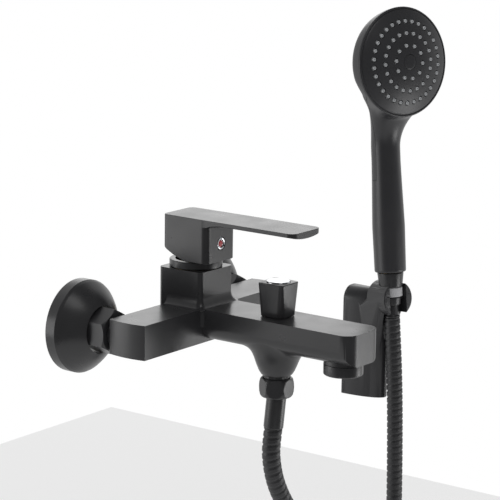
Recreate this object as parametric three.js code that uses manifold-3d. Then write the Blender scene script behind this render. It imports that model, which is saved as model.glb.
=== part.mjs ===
// Wall mounted bath mixer with a diverter, a hand shower on a ribbed hose and its wall bracket.
// Millimetres, +Z up. The wall is the plane Y = 0 and the mixer stands out towards -Y.
// The origin is on the wall, midway between the two inlets.

import * as THREE from 'three';
import Module from 'manifold-3d';
import { mergeVertices } from 'three/addons/utils/BufferGeometryUtils.js';
import { ConvexGeometry } from 'three/addons/geometries/ConvexGeometry.js';

const wasm = await Module();
wasm.setup();

// Clearances and mesh fineness
const gap = 0.3;
const overrun = 2;
const showSides = 24;
const innerSides = 12;
const smallSides = 6;
const quarterTurn = Math.PI / 2;
const fullTurn = Math.PI * 2;
const halfShare = 0.5;

// Inlets and wall flanges
const inletSpacing = 150;
const flangeRadius = 35;
const flangeRimDepth = 8.6;
const flangeHeight = 25;
const flangeWall = 1.8;
const flangeDomeWall = 2.2;
const flangeBulgeShare = 0.38;
const flangeSteps = 3;

// Eccentric unions between the wall and the mixer
const unionOffset = 6;
const wallThreadRadius = 10.4;
const wallThreadLength = 16;
const wallBoreRadius = 5.8;
const unionShoulderRadius = 15;
const unionShoulderBack = 7;
const unionShoulderFront = 14;
const unionThreadRadius = 13.1;
const unionFace = 30;
const unionBoreRadius = 8.5;

// Union nuts, inlet nipples and washers
const nutFlats = 30;
const nutBack = 18.5;
const nutChamfer = 1.5;
const nutWall = 3;
const washerThickness = 2;
const nippleCollar = 2.5;
const nippleRadius = 11;
const nippleBoreRadius = 7;
const nippleDepth = 12;
const nutStandOff = 3.6;

// Mixer body
const armEndMargin = 12;
const armEndBulge = 2;
const armBack = 42;
const armFront = 75;
const armHalfLength = inletSpacing / 2 + armEndMargin;
const armHalfHeight = 13;
const spoutHalfWidth = 20;
const spoutReach = 208;
const spoutBottom = -11;
const spoutBottomCorner = 11.5;
const spoutFrontCorner = 7;
const towerHalf = 20;
const towerCorner = 2.5;
const towerAxis = 53.5;
const towerTop = 40;
const towerFootFlare = 5;
const towerFootHeight = 8;
const cornerSteps = 3;

// Water ways in the body
const inletWayRadius = 4;
const inletWayHeight = -1.5;
const inletWayEnd = 5.5;
const floorHoleRadius = 3;
const mixedWayRadius = 6.2;
const mixedHoleOffset = 9;

// Cartridge
const cartridgeRadius = 17.4;
const cartridgeFloor = 5;
const cartridgeTop = 36.5;
const cartridgeBase = 4;
const cartridgeWall = 2.9;
const sealThickness = 1.2;
const sealInnerRadius = 13.4;
const discThickness = 3;
const fixedDiscRadius = 13.8;
const movingDiscRadius = 9.2;
const carrierRadius = 6.7;
const carrierHeight = 5.4;
const carrierPocket = 4.9;
const rotorNeckRadius = 11;
const rotorShoulder = 5;
const rotorSlotHalf = 4.6;
const rotorSlotReach = 10.2;
const pinRadius = 1.5;
const pinHalfLength = 12;
const pinHeight = 29.5;
const stemHalf = 3.5;
const stemTop = 70;
const stemEndRadius = 3.6;
const stemEndLift = 0.6;
const stemNeckRadius = 2.6;
const stemShoulderLift = 1.2;
const cartridgeNutRadius = 18.1;
const cartridgeNutBore = 12.5;
const cartridgeNutHeight = 5.5;
const nutRecessDepth = 4;

// Cover ring
const ringRadius = 20;
const ringWall = 1.2;
const ringHeight = 5.6;

// Lever
const leverHalfWidth = 18;
const leverBack = 34.9;
const leverTop = 80;
const leverTip = 155.4;
const leverBlockFront = 77;
const leverBlockBottom = 46.3;
const leverSlopeStart = 56;
const leverSlopeMiddle = 45.2;
const leverSlopeMiddleRise = 4;
const leverSlopeEndRise = 9.4;
const bladeEdgeThickness = 3;
const bladeCrown = 2.2;
const bladeRootThickness = 8;
const bladeRootReach = 7;
const bladeShoulderShare = 0.75;
const leverTipCorner = 4;
const leverBlockCorner = 2.5;
const indexHeight = 64.2;
const indexRadius = 4.8;
const indexDepth = 2.6;
const indexDotRadius = 2.5;
const indexDotDepth = 0.9;
const indexNotch = 1.1;
const indexNotches = 3;
const setScrewRadius = 2.5;
const setScrewLength = 8;

// Diverter
const diverterMargin = 78;
const diverterAxis = spoutReach - diverterMargin;
const diverterBore = 8.4;
const diverterFloor = -9;
const diverterCoreRadius = 5;
const diverterLip = 1.2;
const diverterCollarRadius = 9.6;
const diverterCollarHeight = 1.2;
const spindleNeck = 3.4;
const spindleTop = 29;
const knobBottomHalf = 10;
const knobTopHalf = 11.4;
const knobBottomCorner = 5;
const knobTopCorner = 3;
const knobHeight = 23.6;
const knobTopRound = 1;
const capRadius = 8.8;
const capThickness = 2.4;
const capProud = 1;
const diverterScrewRadius = 1.9;
const diverterScrewHead = 3.9;
const diverterScrewHeadHeight = 2.6;
const diverterScrewLength = 9;
const knobWeb = 2.4;

// Shower outlet under the spout
const outletBottom = -31;
const outletBottomRadius = 11.3;
const outletTopRadius = 19.6;
const outletTopHeight = -8;
const outletShoulderShare = 0.55;
const outletThreadRadius = 8.6;
const outletThreadLength = 13;
const outletMaleRadius = 10.1;
const outletMaleLength = 9;
const outletNippleBore = 5.4;
const outletWayRadius = 5;
const hoseNutGap = 2.6;
const hoseNutFlats = 23;
const hoseNutRadius = 12.8;
const hoseNutEndRadius = 11.2;
const hoseNutHeight = 14.2;
const hoseNutLip = 2.8;
const hoseNutChamferShare = 0.25;
const hoseWasherThickness = 1.8;

// Aerator
const aeratorMargin = 19;
const aeratorAxis = spoutReach - aeratorMargin;
const aeratorRadius = 14.5;
const aeratorBottom = -21;
const aeratorBoss = -12.6;
const aeratorThreadRadius = 12;
const aeratorThreadTop = -3.5;
const aeratorWall = 1.7;
const aeratorInsertRadius = 9.9;
const aeratorInsertHeight = 8;
const aeratorCellRadius = 1.7;
const aeratorCellPitch = 5.4;
const aeratorCells = 6;
const aeratorWasherThickness = 1.6;

// Hose
const hoseRadius = 7;
const hoseBore = 4;
const hoseGroove = 0.9;
const hosePitch = 6.5;
const ribShare = 0.72;
const ribPoints = 7;
const boreRibs = 8;
const ferruleRadius = 7.4;
const ferruleLength = 30;
const ferruleFlange = 2;
const ferruleFlangeRadius = 9.6;
const ferruleLeanStart = -50;
const ferruleLean = 0.082;
const ferruleLeanX = -0.593;
const ferruleLeanY = 0.805;
const coilRadius = 74;
const coilPitch = 15;
const coilTurns = 2.5;
const coilX = 223.8;
const coilY = -90.1;
const coilZ = -330;
const coilHeading = 0.274;
const coilSteps = 24;
const coilSides = 6;
const tieThickness = 1.6;
const tieWidth = 9;
const tieCorner = 7;

// Hand shower: place, facing and lean of the cone that hangs in the holder
const coneX = 290.5;
const coneY = -42.5;
const coneZ = -42;
const handTurn = THREE.MathUtils.degToRad(18.2);
const handLean = THREE.MathUtils.degToRad(6.05);
const collarBottom = -14.5;
const collarRadius = 5.9;
const collarFoot = 1.6;
const coneBottom = -3.6;
const coneBottomRadius = 7.9;
const ringBottom = 3.9;
const ringTop = 11.8;
const swivelRadius = 9.8;
const coneTop = 25;
const coneTopRadius = 11.5;
const coneBore = 4.4;
const coneThread = 9.9;
const coneThreadDepth = 9;
const swivelWall = 2.4;

// Hand shower: handle and head
const headHeight = 206;
const gripBottom = 25.6;
const gripBottomRadius = 13.6;
const gripWaistRadius = 12.5;
const gripWaistDrop = 74;
const gripWaist = headHeight - gripWaistDrop;
const gripShellWall = 2.4;
const gripShares = [[0.265, 1.007], [0.492, 1.037], [0.79, 0.945]];
const gripSides = 18;
const headRadius = 46.6;
const headFace = 28.8;
const headWall = 10;
const headBackDome = 9;
const headShellWall = 2.2;
const rimThickness = 1.3;
const faceInset = 2;
const faceRadius = headRadius - faceInset;
const faceRise = 8.9;
const faceWall = 1.9;
const faceSkirt = 3;
const neckTopDrop = 28;
const neckTop = headHeight - neckTopDrop;
const neckTopHalf = 29;
const neckTopFront = 28;
const neckTopBack = -9;
const neckEndDrop = 14;
const neckEnd = headHeight - neckEndDrop;
const neckEndHalf = 18;
const neckEndFront = 26;
const neckEndBack = -15;
const neckSteps = 7;
const neckFrontShare = 0.62;
const neckHalfPower = 2.2;
const neckFrontPower = 1.5;
const neckBackPower = 1.6;
const seamShares = [[0.07, 0.59], [0.07, 0.758], [0.139, 0.843], [0.313, 0.91], [0.59, 0.966],
  [0.951, 1.022], [0.951, 1.46]];
const capDiscRadius = 6.3;
const nozzleRadius = 1.55;
const nozzleProud = 1.6;
const nozzleCounts = [30, 20, 10];
const nozzleRingShares = [0.771, 0.545, 0.316];
const nozzlePhases = [1, -2, -11.1];
const nozzleSides = 4;
const matThickness = 1.2;
const chamberThickness = 2;
const chamberHole = 5;
const waterTubeRadius = 4.8;
const waterTubeBore = 3.4;
const connectorBore = 5.2;
const waterTubeDrop = 37;
const waterTubeTop = headHeight - waterTubeDrop;
const waterTubeShares = [[0, 0.68], [0.12, 0.793], [0.48, 0.905]];
const tubeSteps = 6;
const connectorRadius = 9.5;
const connectorLength = 14;
const connectorThread = 8;

// Wall bracket
const bracketX = 292.5;
const bracketBottom = -130;
const bracketTop = -34;
const bracketHalfWidth = 13;
const bracketDepth = 38;
const bracketTopRound = 8;
const bracketSides = 16;
const plateThickness = 3;
const plateHalfWidth = 7.5;
const plateMargin = 9;
const forkRadius = 16;
const forkFront = 11;
const forkBack = 15;
const forkHeight = 2;
const forkSlotHalf = 9;
const forkPassRadius = 8.6;
const armRootZ = -52;
const armRootHalfWidth = 13.4;
const armRootHalfDepth = 13.5;
const armRootY = -22.5;
const armFootZ = -96;
const armFootHalfWidth = 8;
const armFootHalfDepth = 11;
const wallScrewRadius = 2.1;
const wallScrewHeadRadius = 3.8;
const wallScrewHead = 2.2;
const wallScrewLength = 9;
const wallScrewInset = 16;

// Finishes
const finish = {
  paint: { color: 0x3d3e40, roughness: 0.45, metalness: 0.2 },
  brass: { color: 0xb59452, roughness: 0.35, metalness: 0.9 },
  chrome: { color: 0xd8d9db, roughness: 0.1, metalness: 1 },
  rubber: { color: 0x191919, roughness: 0.8, metalness: 0 },
  ceramic: { color: 0xe8e4d8, roughness: 0.3, metalness: 0 },
  plastic: { color: 0x5a5c60, roughness: 0.5, metalness: 0 },
  whitePlastic: { color: 0xd9dad8, roughness: 0.5, metalness: 0 },
  greyPlastic: { color: 0x9a9b9e, roughness: 0.45, metalness: 0 },
  silicone: { color: 0xa9abad, roughness: 0.6, metalness: 0 },
  steel: { color: 0x9fa2a6, roughness: 0.35, metalness: 0.9 },
  red: { color: 0xb3141c, roughness: 0.4, metalness: 0 },
};

const assembly = new THREE.Group();

// Turns a closed triangle mesh so that its faces point out
function faceOut(geometry) {
  const place = geometry.attributes.position;
  const index = geometry.index.array;
  const [a, b, c] = [new THREE.Vector3(), new THREE.Vector3(), new THREE.Vector3()];
  let volume = 0;
  for (let i = 0; i < index.length; i += 3) {
    a.fromBufferAttribute(place, index[i]);
    b.fromBufferAttribute(place, index[i + 1]);
    c.fromBufferAttribute(place, index[i + 2]);
    volume += a.dot(b.cross(c));
  }
  if (volume < 0) {
    for (let i = 0; i < index.length; i += 3) {
      [index[i], index[i + 1]] = [index[i + 1], index[i]];
    }
  }
  return geometry;
}

// Makes a solid that can be joined and cut
function solid(source) {
  let geometry = source.clone();
  geometry.deleteAttribute('normal');
  geometry.deleteAttribute('uv');
  geometry = faceOut(mergeVertices(geometry));
  const vertProperties = new Float32Array(geometry.attributes.position.array);
  const triVerts = new Uint32Array(geometry.index.array);
  return new wasm.Manifold(new wasm.Mesh({ numProp: 3, vertProperties, triVerts }));
}

function join(first, ...others) {
  return others.reduce((sum, other) => sum.add(other), first);
}

function cut(first, ...others) {
  return others.reduce((rest, other) => rest.subtract(other), first);
}

// Adds one named piece to a group
function piece(name, shape, material, group = assembly) {
  const mesh = shape.getMesh();
  const geometry = new THREE.BufferGeometry();
  geometry.setAttribute('position', new THREE.BufferAttribute(mesh.vertProperties, 3));
  geometry.setIndex(new THREE.BufferAttribute(mesh.triVerts, 1));
  const part = new THREE.Mesh(geometry, new THREE.MeshStandardMaterial(finish[material]));
  part.name = name;
  group.add(part);
  return part;
}

// Geometry turned about Z from a closed outline of [radius, height] pairs
function turnedShape(outline, sides) {
  const points = outline.map(([radius, height]) => new THREE.Vector2(radius, height));
  return new THREE.LatheGeometry(points, sides).rotateX(quarterTurn);
}

function turned(outline, sides = showSides, x = 0, y = 0) {
  return solid(turnedShape(outline, sides).translate(x, y, 0));
}

function rod(radius, bottom, top, sides = showSides, x = 0, y = 0) {
  return turned([[0, bottom], [radius, bottom], [radius, top], [0, top]], sides, x, y);
}

function sleeve(outer, inner, bottom, top, sides = showSides, x = 0, y = 0) {
  const outline = [[inner, bottom], [outer, bottom], [outer, top], [inner, top], [inner, bottom]];
  return turned(outline, sides, x, y);
}

// A rod along X or Y, given by its two ends
function rodAlongX(radius, from, to, y, z, sides = innerSides) {
  const outline = [[0, from], [radius, from], [radius, to], [0, to]];
  return solid(turnedShape(outline, sides).rotateY(quarterTurn).translate(0, y, z));
}

function rodAlongY(radius, from, to, x, z, sides = innerSides) {
  const outline = [[0, from], [radius, from], [radius, to], [0, to]];
  return solid(turnedShape(outline, sides).rotateX(-quarterTurn).translate(x, 0, z));
}

function block(x0, x1, y0, y1, z0, z1) {
  const box = new THREE.BoxGeometry(x1 - x0, y1 - y0, z1 - z0);
  return solid(box.translate((x0 + x1) / 2, (y0 + y1) / 2, (z0 + z1) / 2));
}

// Joins rings of equal point counts into one closed skin with fan ends
function loftShape(rings) {
  const count = rings[0].length;
  const points = rings.flat();
  const triangles = [];
  for (let r = 0; r + 1 < rings.length; r += 1) {
    for (let i = 0; i < count; i += 1) {
      const j = (i + 1) % count;
      const [a, b] = [r * count + i, r * count + j];
      triangles.push(a, b, a + count, b, b + count, a + count);
    }
  }
  [0, rings.length - 1].forEach((r) => {
    const centre = new THREE.Vector3();
    rings[r].forEach((point) => centre.addScaledVector(point, 1 / count));
    points.push(centre);
    for (let i = 0; i < count; i += 1) {
      const [a, b] = [r * count + i, r * count + (i + 1) % count];
      triangles.push(...(r === 0 ? [b, a, points.length - 1] : [a, b, points.length - 1]));
    }
  });
  const geometry = new THREE.BufferGeometry().setFromPoints(points);
  geometry.setIndex(triangles);
  return geometry;
}

function loft(rings) {
  return solid(loftShape(rings));
}

// Points of a rounded rectangle about the origin, counted round from +X
function roundedSquare(halfX, halfY, corner, steps = cornerSteps) {
  const points = [];
  [[1, 1, 0], [-1, 1, 1], [-1, -1, 2], [1, -1, 3]].forEach(([sx, sy, quarter]) => {
    for (let i = 0; i <= steps; i += 1) {
      const angle = quarterTurn * (quarter + i / steps);
      const x = sx * (halfX - corner) + corner * Math.cos(angle);
      const y = sy * (halfY - corner) + corner * Math.sin(angle);
      points.push(new THREE.Vector2(x, y));
    }
  });
  return points;
}

function ringAt(points, z, x = 0, y = 0) {
  return points.map((point) => new THREE.Vector3(point.x + x, point.y + y, z));
}

function hexagon(flats, bottom, top) {
  const radius = flats / Math.sqrt(3);
  return rod(radius, bottom, top, 6);
}

// Hexagon whose ends are rounded off by a barrel
function hexNut(flats, bottom, top, endRadius, middleRadius, chamfer) {
  const outline = [[0, bottom], [endRadius, bottom], [middleRadius, bottom + chamfer],
    [middleRadius, top - chamfer], [endRadius, top], [0, top]];
  return hexagon(flats, bottom, top).intersect(turned(outline));
}

// Wall flange, from the wall out to the edge of its nut hole
function flange() {
  const hole = nutFlats / Math.sqrt(3) + 2 * gap;
  const dome = (radius, lift, share) => {
    const swell = share + flangeBulgeShare * share * (1 - share);
    const rise = flangeHeight - flangeRimDepth;
    return [radius + (hole - radius) * share, flangeRimDepth + rise * swell - lift];
  };
  const outline = [[flangeRadius, 0]];
  for (let i = 0; i <= flangeSteps; i += 1) {
    outline.push(dome(flangeRadius, 0, i / flangeSteps));
  }
  for (let i = flangeSteps; i >= 0; i -= 1) {
    outline.push(dome(flangeRadius - flangeWall, flangeDomeWall, i / flangeSteps));
  }
  outline.push([flangeRadius - flangeWall, 0], [flangeRadius, 0]);
  return turned(outline);
}

// Eccentric union: its wall thread sits above the axis of the mixer's inlet
function eccentricUnion() {
  const body = join(
    rod(wallThreadRadius, -wallThreadLength, unionShoulderBack + gap, innerSides, 0, unionOffset),
    rod(unionShoulderRadius, unionShoulderBack, unionShoulderFront, innerSides, 0, unionOffset / 2),
    rod(unionThreadRadius, unionShoulderFront - gap, unionFace, innerSides),
  );
  const middle = (unionShoulderBack + unionShoulderFront) / 2;
  return cut(
    body,
    rod(wallBoreRadius, -wallThreadLength - overrun, middle + overrun, innerSides, 0, unionOffset),
    rod(unionBoreRadius, middle - overrun, unionFace + overrun, innerSides),
  );
}

const washerFace = unionFace + gap;
const collarFace = washerFace + washerThickness + gap;
const nutLipFace = collarFace + nippleCollar + gap;
const nutFront = armBack - nutStandOff;
const nutCorner = nutFlats / Math.sqrt(3);
const nutBore = unionThreadRadius + gap;

function unionNut() {
  const shell = hexNut(nutFlats, nutBack, nutFront, nutCorner - nutChamfer, nutCorner, nutChamfer);
  return cut(
    shell,
    rod(nutBore, nutBack - overrun, nutLipFace, innerSides),
    rod(nippleRadius + gap, nutLipFace - overrun, nutFront + overrun, innerSides),
  );
}

function inletNipple() {
  const end = armBack + nippleDepth;
  const body = join(
    rod(nutBore - gap, collarFace, collarFace + nippleCollar, innerSides),
    rod(nippleRadius, collarFace + gap, end, innerSides),
  );
  return cut(body, rod(nippleBoreRadius, collarFace - overrun, end + overrun, innerSides));
}

function inletWasher() {
  return sleeve(nutBore - gap, nippleBoreRadius, washerFace, washerFace + washerThickness, innerSides);
}

function inlets() {
  [['left', -1], ['right', 1]].forEach(([side, sign]) => {
    const group = new THREE.Group();
    group.position.set(sign * inletSpacing / 2, 0, 0);
    group.rotation.x = quarterTurn;
    assembly.add(group);
    piece(`wall_flange_${side}`, flange(), 'paint', group);
    piece(`eccentric_union_${side}`, eccentricUnion(), 'brass', group);
    piece(`union_nut_${side}`, unionNut(), 'paint', group).rotation.z = quarterTurn / 3;
    piece(`inlet_nipple_${side}`, inletNipple(), 'brass', group);
    piece(`inlet_washer_${side}`, inletWasher(), 'rubber', group);
  });
}

// Plan of the cross arm, with ends that bulge a little
function armShape() {
  const shape = new THREE.Shape();
  const bulged = armHalfLength + 2 * armEndBulge;
  const middle = -(armBack + armFront) / 2;
  shape.moveTo(-armHalfLength, -armBack);
  shape.quadraticCurveTo(-bulged, middle, -armHalfLength, -armFront);
  shape.lineTo(armHalfLength, -armFront);
  shape.quadraticCurveTo(bulged, middle, armHalfLength, -armBack);
  const options = { depth: 2 * armHalfHeight, bevelEnabled: false, curveSegments: cornerSteps };
  return solid(new THREE.ExtrudeGeometry(shape, options).translate(0, 0, -armHalfHeight));
}

// Spout bar: flat top, round lower corners, and front corners rounded in plan
function spoutShape() {
  const section = new THREE.Shape();
  const low = spoutBottom + spoutBottomCorner;
  const inner = spoutHalfWidth - spoutBottomCorner;
  section.moveTo(-spoutHalfWidth, armHalfHeight);
  section.lineTo(-spoutHalfWidth, low);
  section.absarc(-inner, low, spoutBottomCorner, Math.PI, 3 * quarterTurn, false);
  section.absarc(inner, low, spoutBottomCorner, -quarterTurn, 0, false);
  section.lineTo(spoutHalfWidth, armHalfHeight);
  const depth = spoutReach - armBack;
  const options = { depth, bevelEnabled: false, curveSegments: cornerSteps };
  const extruded = new THREE.ExtrudeGeometry(section, options).rotateX(quarterTurn);
  const bar = solid(extruded.translate(0, -armBack, 0));
  const plan = roundedSquare(spoutHalfWidth, spoutReach, spoutFrontCorner);
  const z = [spoutBottom - overrun, armHalfHeight + overrun];
  return bar.intersect(loft([ringAt(plan, z[0]), ringAt(plan, z[1])]));
}

// Tower for the cartridge, flared at its foot
function towerShape() {
  const rings = [];
  const steps = cornerSteps;
  for (let i = 0; i <= steps; i += 1) {
    const angle = quarterTurn * i / steps;
    const flare = towerFootFlare * (1 - Math.sin(angle));
    const rise = towerFootHeight * (1 - Math.cos(angle));
    const outline = roundedSquare(towerHalf + flare, towerHalf + flare, towerCorner + flare);
    rings.push(ringAt(outline, armHalfHeight - gap + rise, 0, -towerAxis));
  }
  const plain = roundedSquare(towerHalf, towerHalf, towerCorner);
  rings.push(ringAt(plain, towerTop, 0, -towerAxis));
  rings.unshift(ringAt(plain, 0, 0, -towerAxis));
  return loft(rings);
}

// Bell that carries the shower outlet under the spout
function outletBell() {
  const height = outletTopHeight - outletBottom;
  const growth = outletTopRadius - outletBottomRadius;
  const outline = [[0, outletBottom]];
  for (let i = 0; i <= cornerSteps; i += 1) {
    const share = i / cornerSteps;
    const shoulder = Math.sin(quarterTurn * share);
    const swell = outletShoulderShare * shoulder + (1 - outletShoulderShare) * share ** 3;
    outline.push([outletBottomRadius + growth * swell, outletBottom + height * share]);
  }
  outline.push([0, outletTopHeight]);
  return turned(outline, showSides, 0, -diverterAxis);
}

function bodyCasting() {
  const body = join(
    armShape(),
    spoutShape(),
    towerShape(),
    outletBell(),
    rod(aeratorRadius, aeratorBoss, 0, showSides, 0, -aeratorAxis),
  );
  const inletX = inletSpacing / 2;
  const inletEnd = armBack + nippleDepth + gap;
  const wayY = -towerAxis + inletWayRadius;
  const cuts = [];
  [-1, 1].forEach((sign) => {
    const ends = [sign * inletWayEnd, sign * inletX].sort((a, b) => a - b);
    cuts.push(rodAlongY(nippleRadius + gap, -inletEnd, -armBack + overrun, sign * inletX, 0));
    const way = [ends[0] - floorHoleRadius, ends[1]];
    cuts.push(rodAlongX(inletWayRadius, ...way, wayY, inletWayHeight, smallSides));
    const holeX = sign * (inletWayEnd + floorHoleRadius);
    cuts.push(rod(floorHoleRadius, inletWayHeight, cartridgeFloor + overrun, smallSides, holeX, wayY));
  });
  const mixedY = -towerAxis - mixedHoleOffset;
  const screwedBore = outletBottom + outletThreadLength + gap;
  const aeratorBore = aeratorThreadRadius + gap;
  cuts.push(
    rod(cartridgeRadius + gap, cartridgeFloor, towerTop + overrun, showSides, 0, -towerAxis),
    rod(cartridgeNutRadius + gap, cartridgeTop, towerTop + overrun, showSides, 0, -towerAxis),
    rod(floorHoleRadius, 0, cartridgeFloor + overrun, smallSides, 0, mixedY),
    rodAlongY(mixedWayRadius, -aeratorAxis, mixedY + floorHoleRadius, 0, 0, smallSides),
    rod(diverterBore, diverterFloor, armHalfHeight + overrun, innerSides, 0, -diverterAxis),
    rod(outletWayRadius, screwedBore - overrun, diverterFloor + overrun, smallSides, 0, -diverterAxis),
    rod(outletThreadRadius + gap, outletBottom - overrun, screwedBore, innerSides, 0, -diverterAxis),
    rod(aeratorBore, aeratorBoss - overrun, aeratorThreadTop + gap, innerSides, 0, -aeratorAxis),
  );
  return cut(body, ...cuts);
}

// Heights of the cartridge's stack, from the floor of the tower up
const sealBottom = cartridgeFloor + gap;
const housingBottom = sealBottom + sealThickness + gap;
const fixedDiscBottom = housingBottom + cartridgeBase + gap;
const movingDiscBottom = fixedDiscBottom + discThickness + gap;
const carrierBottom = movingDiscBottom + discThickness;
const rotorBottom = carrierBottom + carrierHeight + gap;
const cartridgeBore = cartridgeRadius - cartridgeWall;
const cartridgeNutBottom = cartridgeTop + gap;

function waterHoles(radius, bottom, top) {
  const wayY = inletWayRadius;
  const holeX = inletWayEnd + floorHoleRadius;
  return [[-holeX, wayY], [holeX, wayY], [0, -mixedHoleOffset]].map(
    ([x, y]) => rod(radius, bottom - overrun, top + overrun, smallSides, x, y),
  );
}

function cartridgeHousing() {
  const body = rod(cartridgeRadius, housingBottom, cartridgeTop);
  const floor = housingBottom + cartridgeBase;
  return cut(
    body,
    rod(cartridgeBore, floor, cartridgeTop + overrun, showSides),
    ...waterHoles(floorHoleRadius, housingBottom, floor),
  );
}

function cartridgeRotor() {
  const body = join(
    rod(cartridgeBore - gap, rotorBottom, cartridgeTop - rotorShoulder),
    rod(rotorNeckRadius, rotorBottom, cartridgeTop),
  );
  const slotTop = cartridgeTop + overrun;
  return cut(
    body,
    block(-rotorSlotHalf, rotorSlotHalf, -rotorSlotReach, rotorSlotReach, rotorBottom - overrun, slotTop),
    rodAlongX(pinRadius + gap, -cartridgeRadius, cartridgeRadius, 0, pinHeight, smallSides),
  );
}

function leverStem() {
  const endHeight = carrierBottom + stemEndRadius + stemEndLift;
  const ball = new THREE.SphereGeometry(stemEndRadius, smallSides, smallSides / 2).translate(0, 0, endHeight);
  const body = join(
    block(-stemHalf, stemHalf, -stemHalf, stemHalf, rotorBottom + stemShoulderLift, stemTop),
    rod(stemNeckRadius, endHeight, rotorBottom + overrun, smallSides),
    solid(ball),
  );
  return cut(body, rodAlongX(pinRadius + gap, -cartridgeRadius, cartridgeRadius, 0, pinHeight, smallSides));
}

function cartridge() {
  const group = new THREE.Group();
  group.position.set(0, -towerAxis, 0);
  assembly.add(group);
  const seal = cut(
    rod(cartridgeRadius - gap, sealBottom, sealBottom + sealThickness, innerSides),
    ...waterHoles(floorHoleRadius, sealBottom, sealBottom + sealThickness),
  );
  piece('cartridge_seal', seal, 'rubber', group);
  piece('cartridge_housing', cartridgeHousing(), 'whitePlastic', group);
  const fixedDisc = cut(
    rod(fixedDiscRadius, fixedDiscBottom, fixedDiscBottom + discThickness, innerSides),
    ...waterHoles(floorHoleRadius, fixedDiscBottom, fixedDiscBottom + discThickness),
  );
  piece('fixed_ceramic_disc', fixedDisc, 'ceramic', group);
  const carrierTop = carrierBottom + carrierHeight;
  const carrier = sleeve(carrierRadius, carrierPocket, carrierBottom - gap, carrierTop, innerSides);
  const movingDisc = rod(movingDiscRadius, movingDiscBottom, carrierBottom, innerSides);
  piece('moving_ceramic_disc', join(movingDisc, carrier), 'ceramic', group);
  piece('cartridge_rotor', cartridgeRotor(), 'whitePlastic', group);
  piece('lever_stem', leverStem(), 'brass', group);
  const pin = rodAlongX(pinRadius, -pinHalfLength, pinHalfLength, 0, pinHeight, smallSides);
  piece('stem_pin', pin, 'steel', group);
  const nutTop = cartridgeNutBottom + cartridgeNutHeight;
  const nut = sleeve(cartridgeNutRadius, cartridgeNutBore, cartridgeNutBottom, nutTop);
  piece('cartridge_nut', nut, 'brass', group);
  const ring = sleeve(ringRadius, ringRadius - ringWall, towerTop + gap, towerTop + gap + ringHeight);
  piece('cover_ring', ring, 'paint', group);
}

// Thin blade with a flat top and a crowned underside
function leverBlade() {
  const bladeThickness = bladeEdgeThickness + bladeCrown;
  const rootBack = leverBlockFront - bladeRootReach;
  const rootFront = leverBlockFront + bladeRootReach;
  const rings = [[rootBack, bladeRootThickness], [leverBlockFront, bladeRootThickness],
    [rootFront, bladeThickness], [leverTip, bladeThickness]];
  return loft(rings.map(([reach, thickness]) => {
    const edge = leverTop - Math.min(bladeEdgeThickness, thickness);
    const shoulder = leverTop - bladeEdgeThickness - (thickness - bladeEdgeThickness) * bladeShoulderShare;
    return [
      new THREE.Vector3(-leverHalfWidth, -reach, leverTop),
      new THREE.Vector3(leverHalfWidth, -reach, leverTop),
      new THREE.Vector3(leverHalfWidth, -reach, edge),
      new THREE.Vector3(leverHalfWidth / 2, -reach, shoulder),
      new THREE.Vector3(0, -reach, leverTop - thickness),
      new THREE.Vector3(-leverHalfWidth / 2, -reach, shoulder),
      new THREE.Vector3(-leverHalfWidth, -reach, edge),
    ];
  }));
}

// Side outline of the lever's block, drawn as [reach from the wall, height]
function leverBlock() {
  const shape = new THREE.Shape();
  shape.moveTo(leverBack, leverTop);
  shape.lineTo(leverBack, leverBlockBottom + leverSlopeEndRise);
  shape.lineTo(leverSlopeMiddle, leverBlockBottom + leverSlopeMiddleRise);
  shape.lineTo(leverSlopeStart, leverBlockBottom);
  shape.lineTo(leverBlockFront, leverBlockBottom);
  shape.lineTo(leverBlockFront, leverTop);
  const options = { depth: 2 * leverHalfWidth, bevelEnabled: false };
  const side = new THREE.ExtrudeGeometry(shape, options).rotateX(quarterTurn).rotateZ(-quarterTurn);
  return solid(side.translate(leverHalfWidth, 0, 0));
}

function leverHandle() {
  const body = join(leverBlock(), leverBlade());
  const middle = (leverBack + leverTip) / 2;
  const plan = roundedSquare(leverHalfWidth, (leverTip - leverBack) / 2, leverTipCorner);
  const rounded = body.intersect(loft([
    ringAt(plan, leverBlockBottom - overrun, 0, -middle),
    ringAt(plan, leverTop + overrun, 0, -middle),
  ]));
  const socket = stemHalf + gap;
  const seatY = -towerAxis;
  const face = -leverBlockFront;
  return cut(
    rounded,
    block(-socket, socket, seatY - socket, seatY + socket, leverBlockBottom - overrun, stemTop + gap),
    rodAlongY(setScrewRadius + gap, face, seatY - stemHalf, 0, indexHeight, smallSides),
    rodAlongY(indexRadius + gap, face - overrun, face + indexDepth + gap, 0, indexHeight, showSides),
  );
}

function lever() {
  piece('lever_handle', leverHandle(), 'paint');
  const screwTip = -towerAxis - stemHalf - gap;
  const screw = rodAlongY(setScrewRadius, screwTip - setScrewLength, screwTip, 0, indexHeight, smallSides);
  piece('lever_set_screw', screw, 'steel');
  const face = -leverBlockFront;
  const notches = [];
  for (let i = 0; i < indexNotches; i += 1) {
    const notch = new THREE.BoxGeometry(indexNotch, indexDotDepth * 2, indexRadius);
    notch.translate(0, 0, indexRadius).rotateY(fullTurn * i / indexNotches).translate(0, face, indexHeight);
    notches.push(solid(notch));
  }
  const plug = cut(
    rodAlongY(indexRadius, face, face + indexDepth, 0, indexHeight, showSides),
    rodAlongY(indexDotRadius + gap, face - overrun, face + indexDotDepth, 0, indexHeight),
    ...notches,
  );
  piece('index_plug', plug, 'chrome');
  const dotBack = face + indexDotDepth - gap / 2;
  const dot = rodAlongY(indexDotRadius, face + gap, dotBack, 0, indexHeight, smallSides);
  piece('index_dot', dot, 'red');
}

const knobBottom = armHalfHeight + gap + diverterCollarHeight + gap;
const knobTop = knobBottom + knobHeight;

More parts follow.
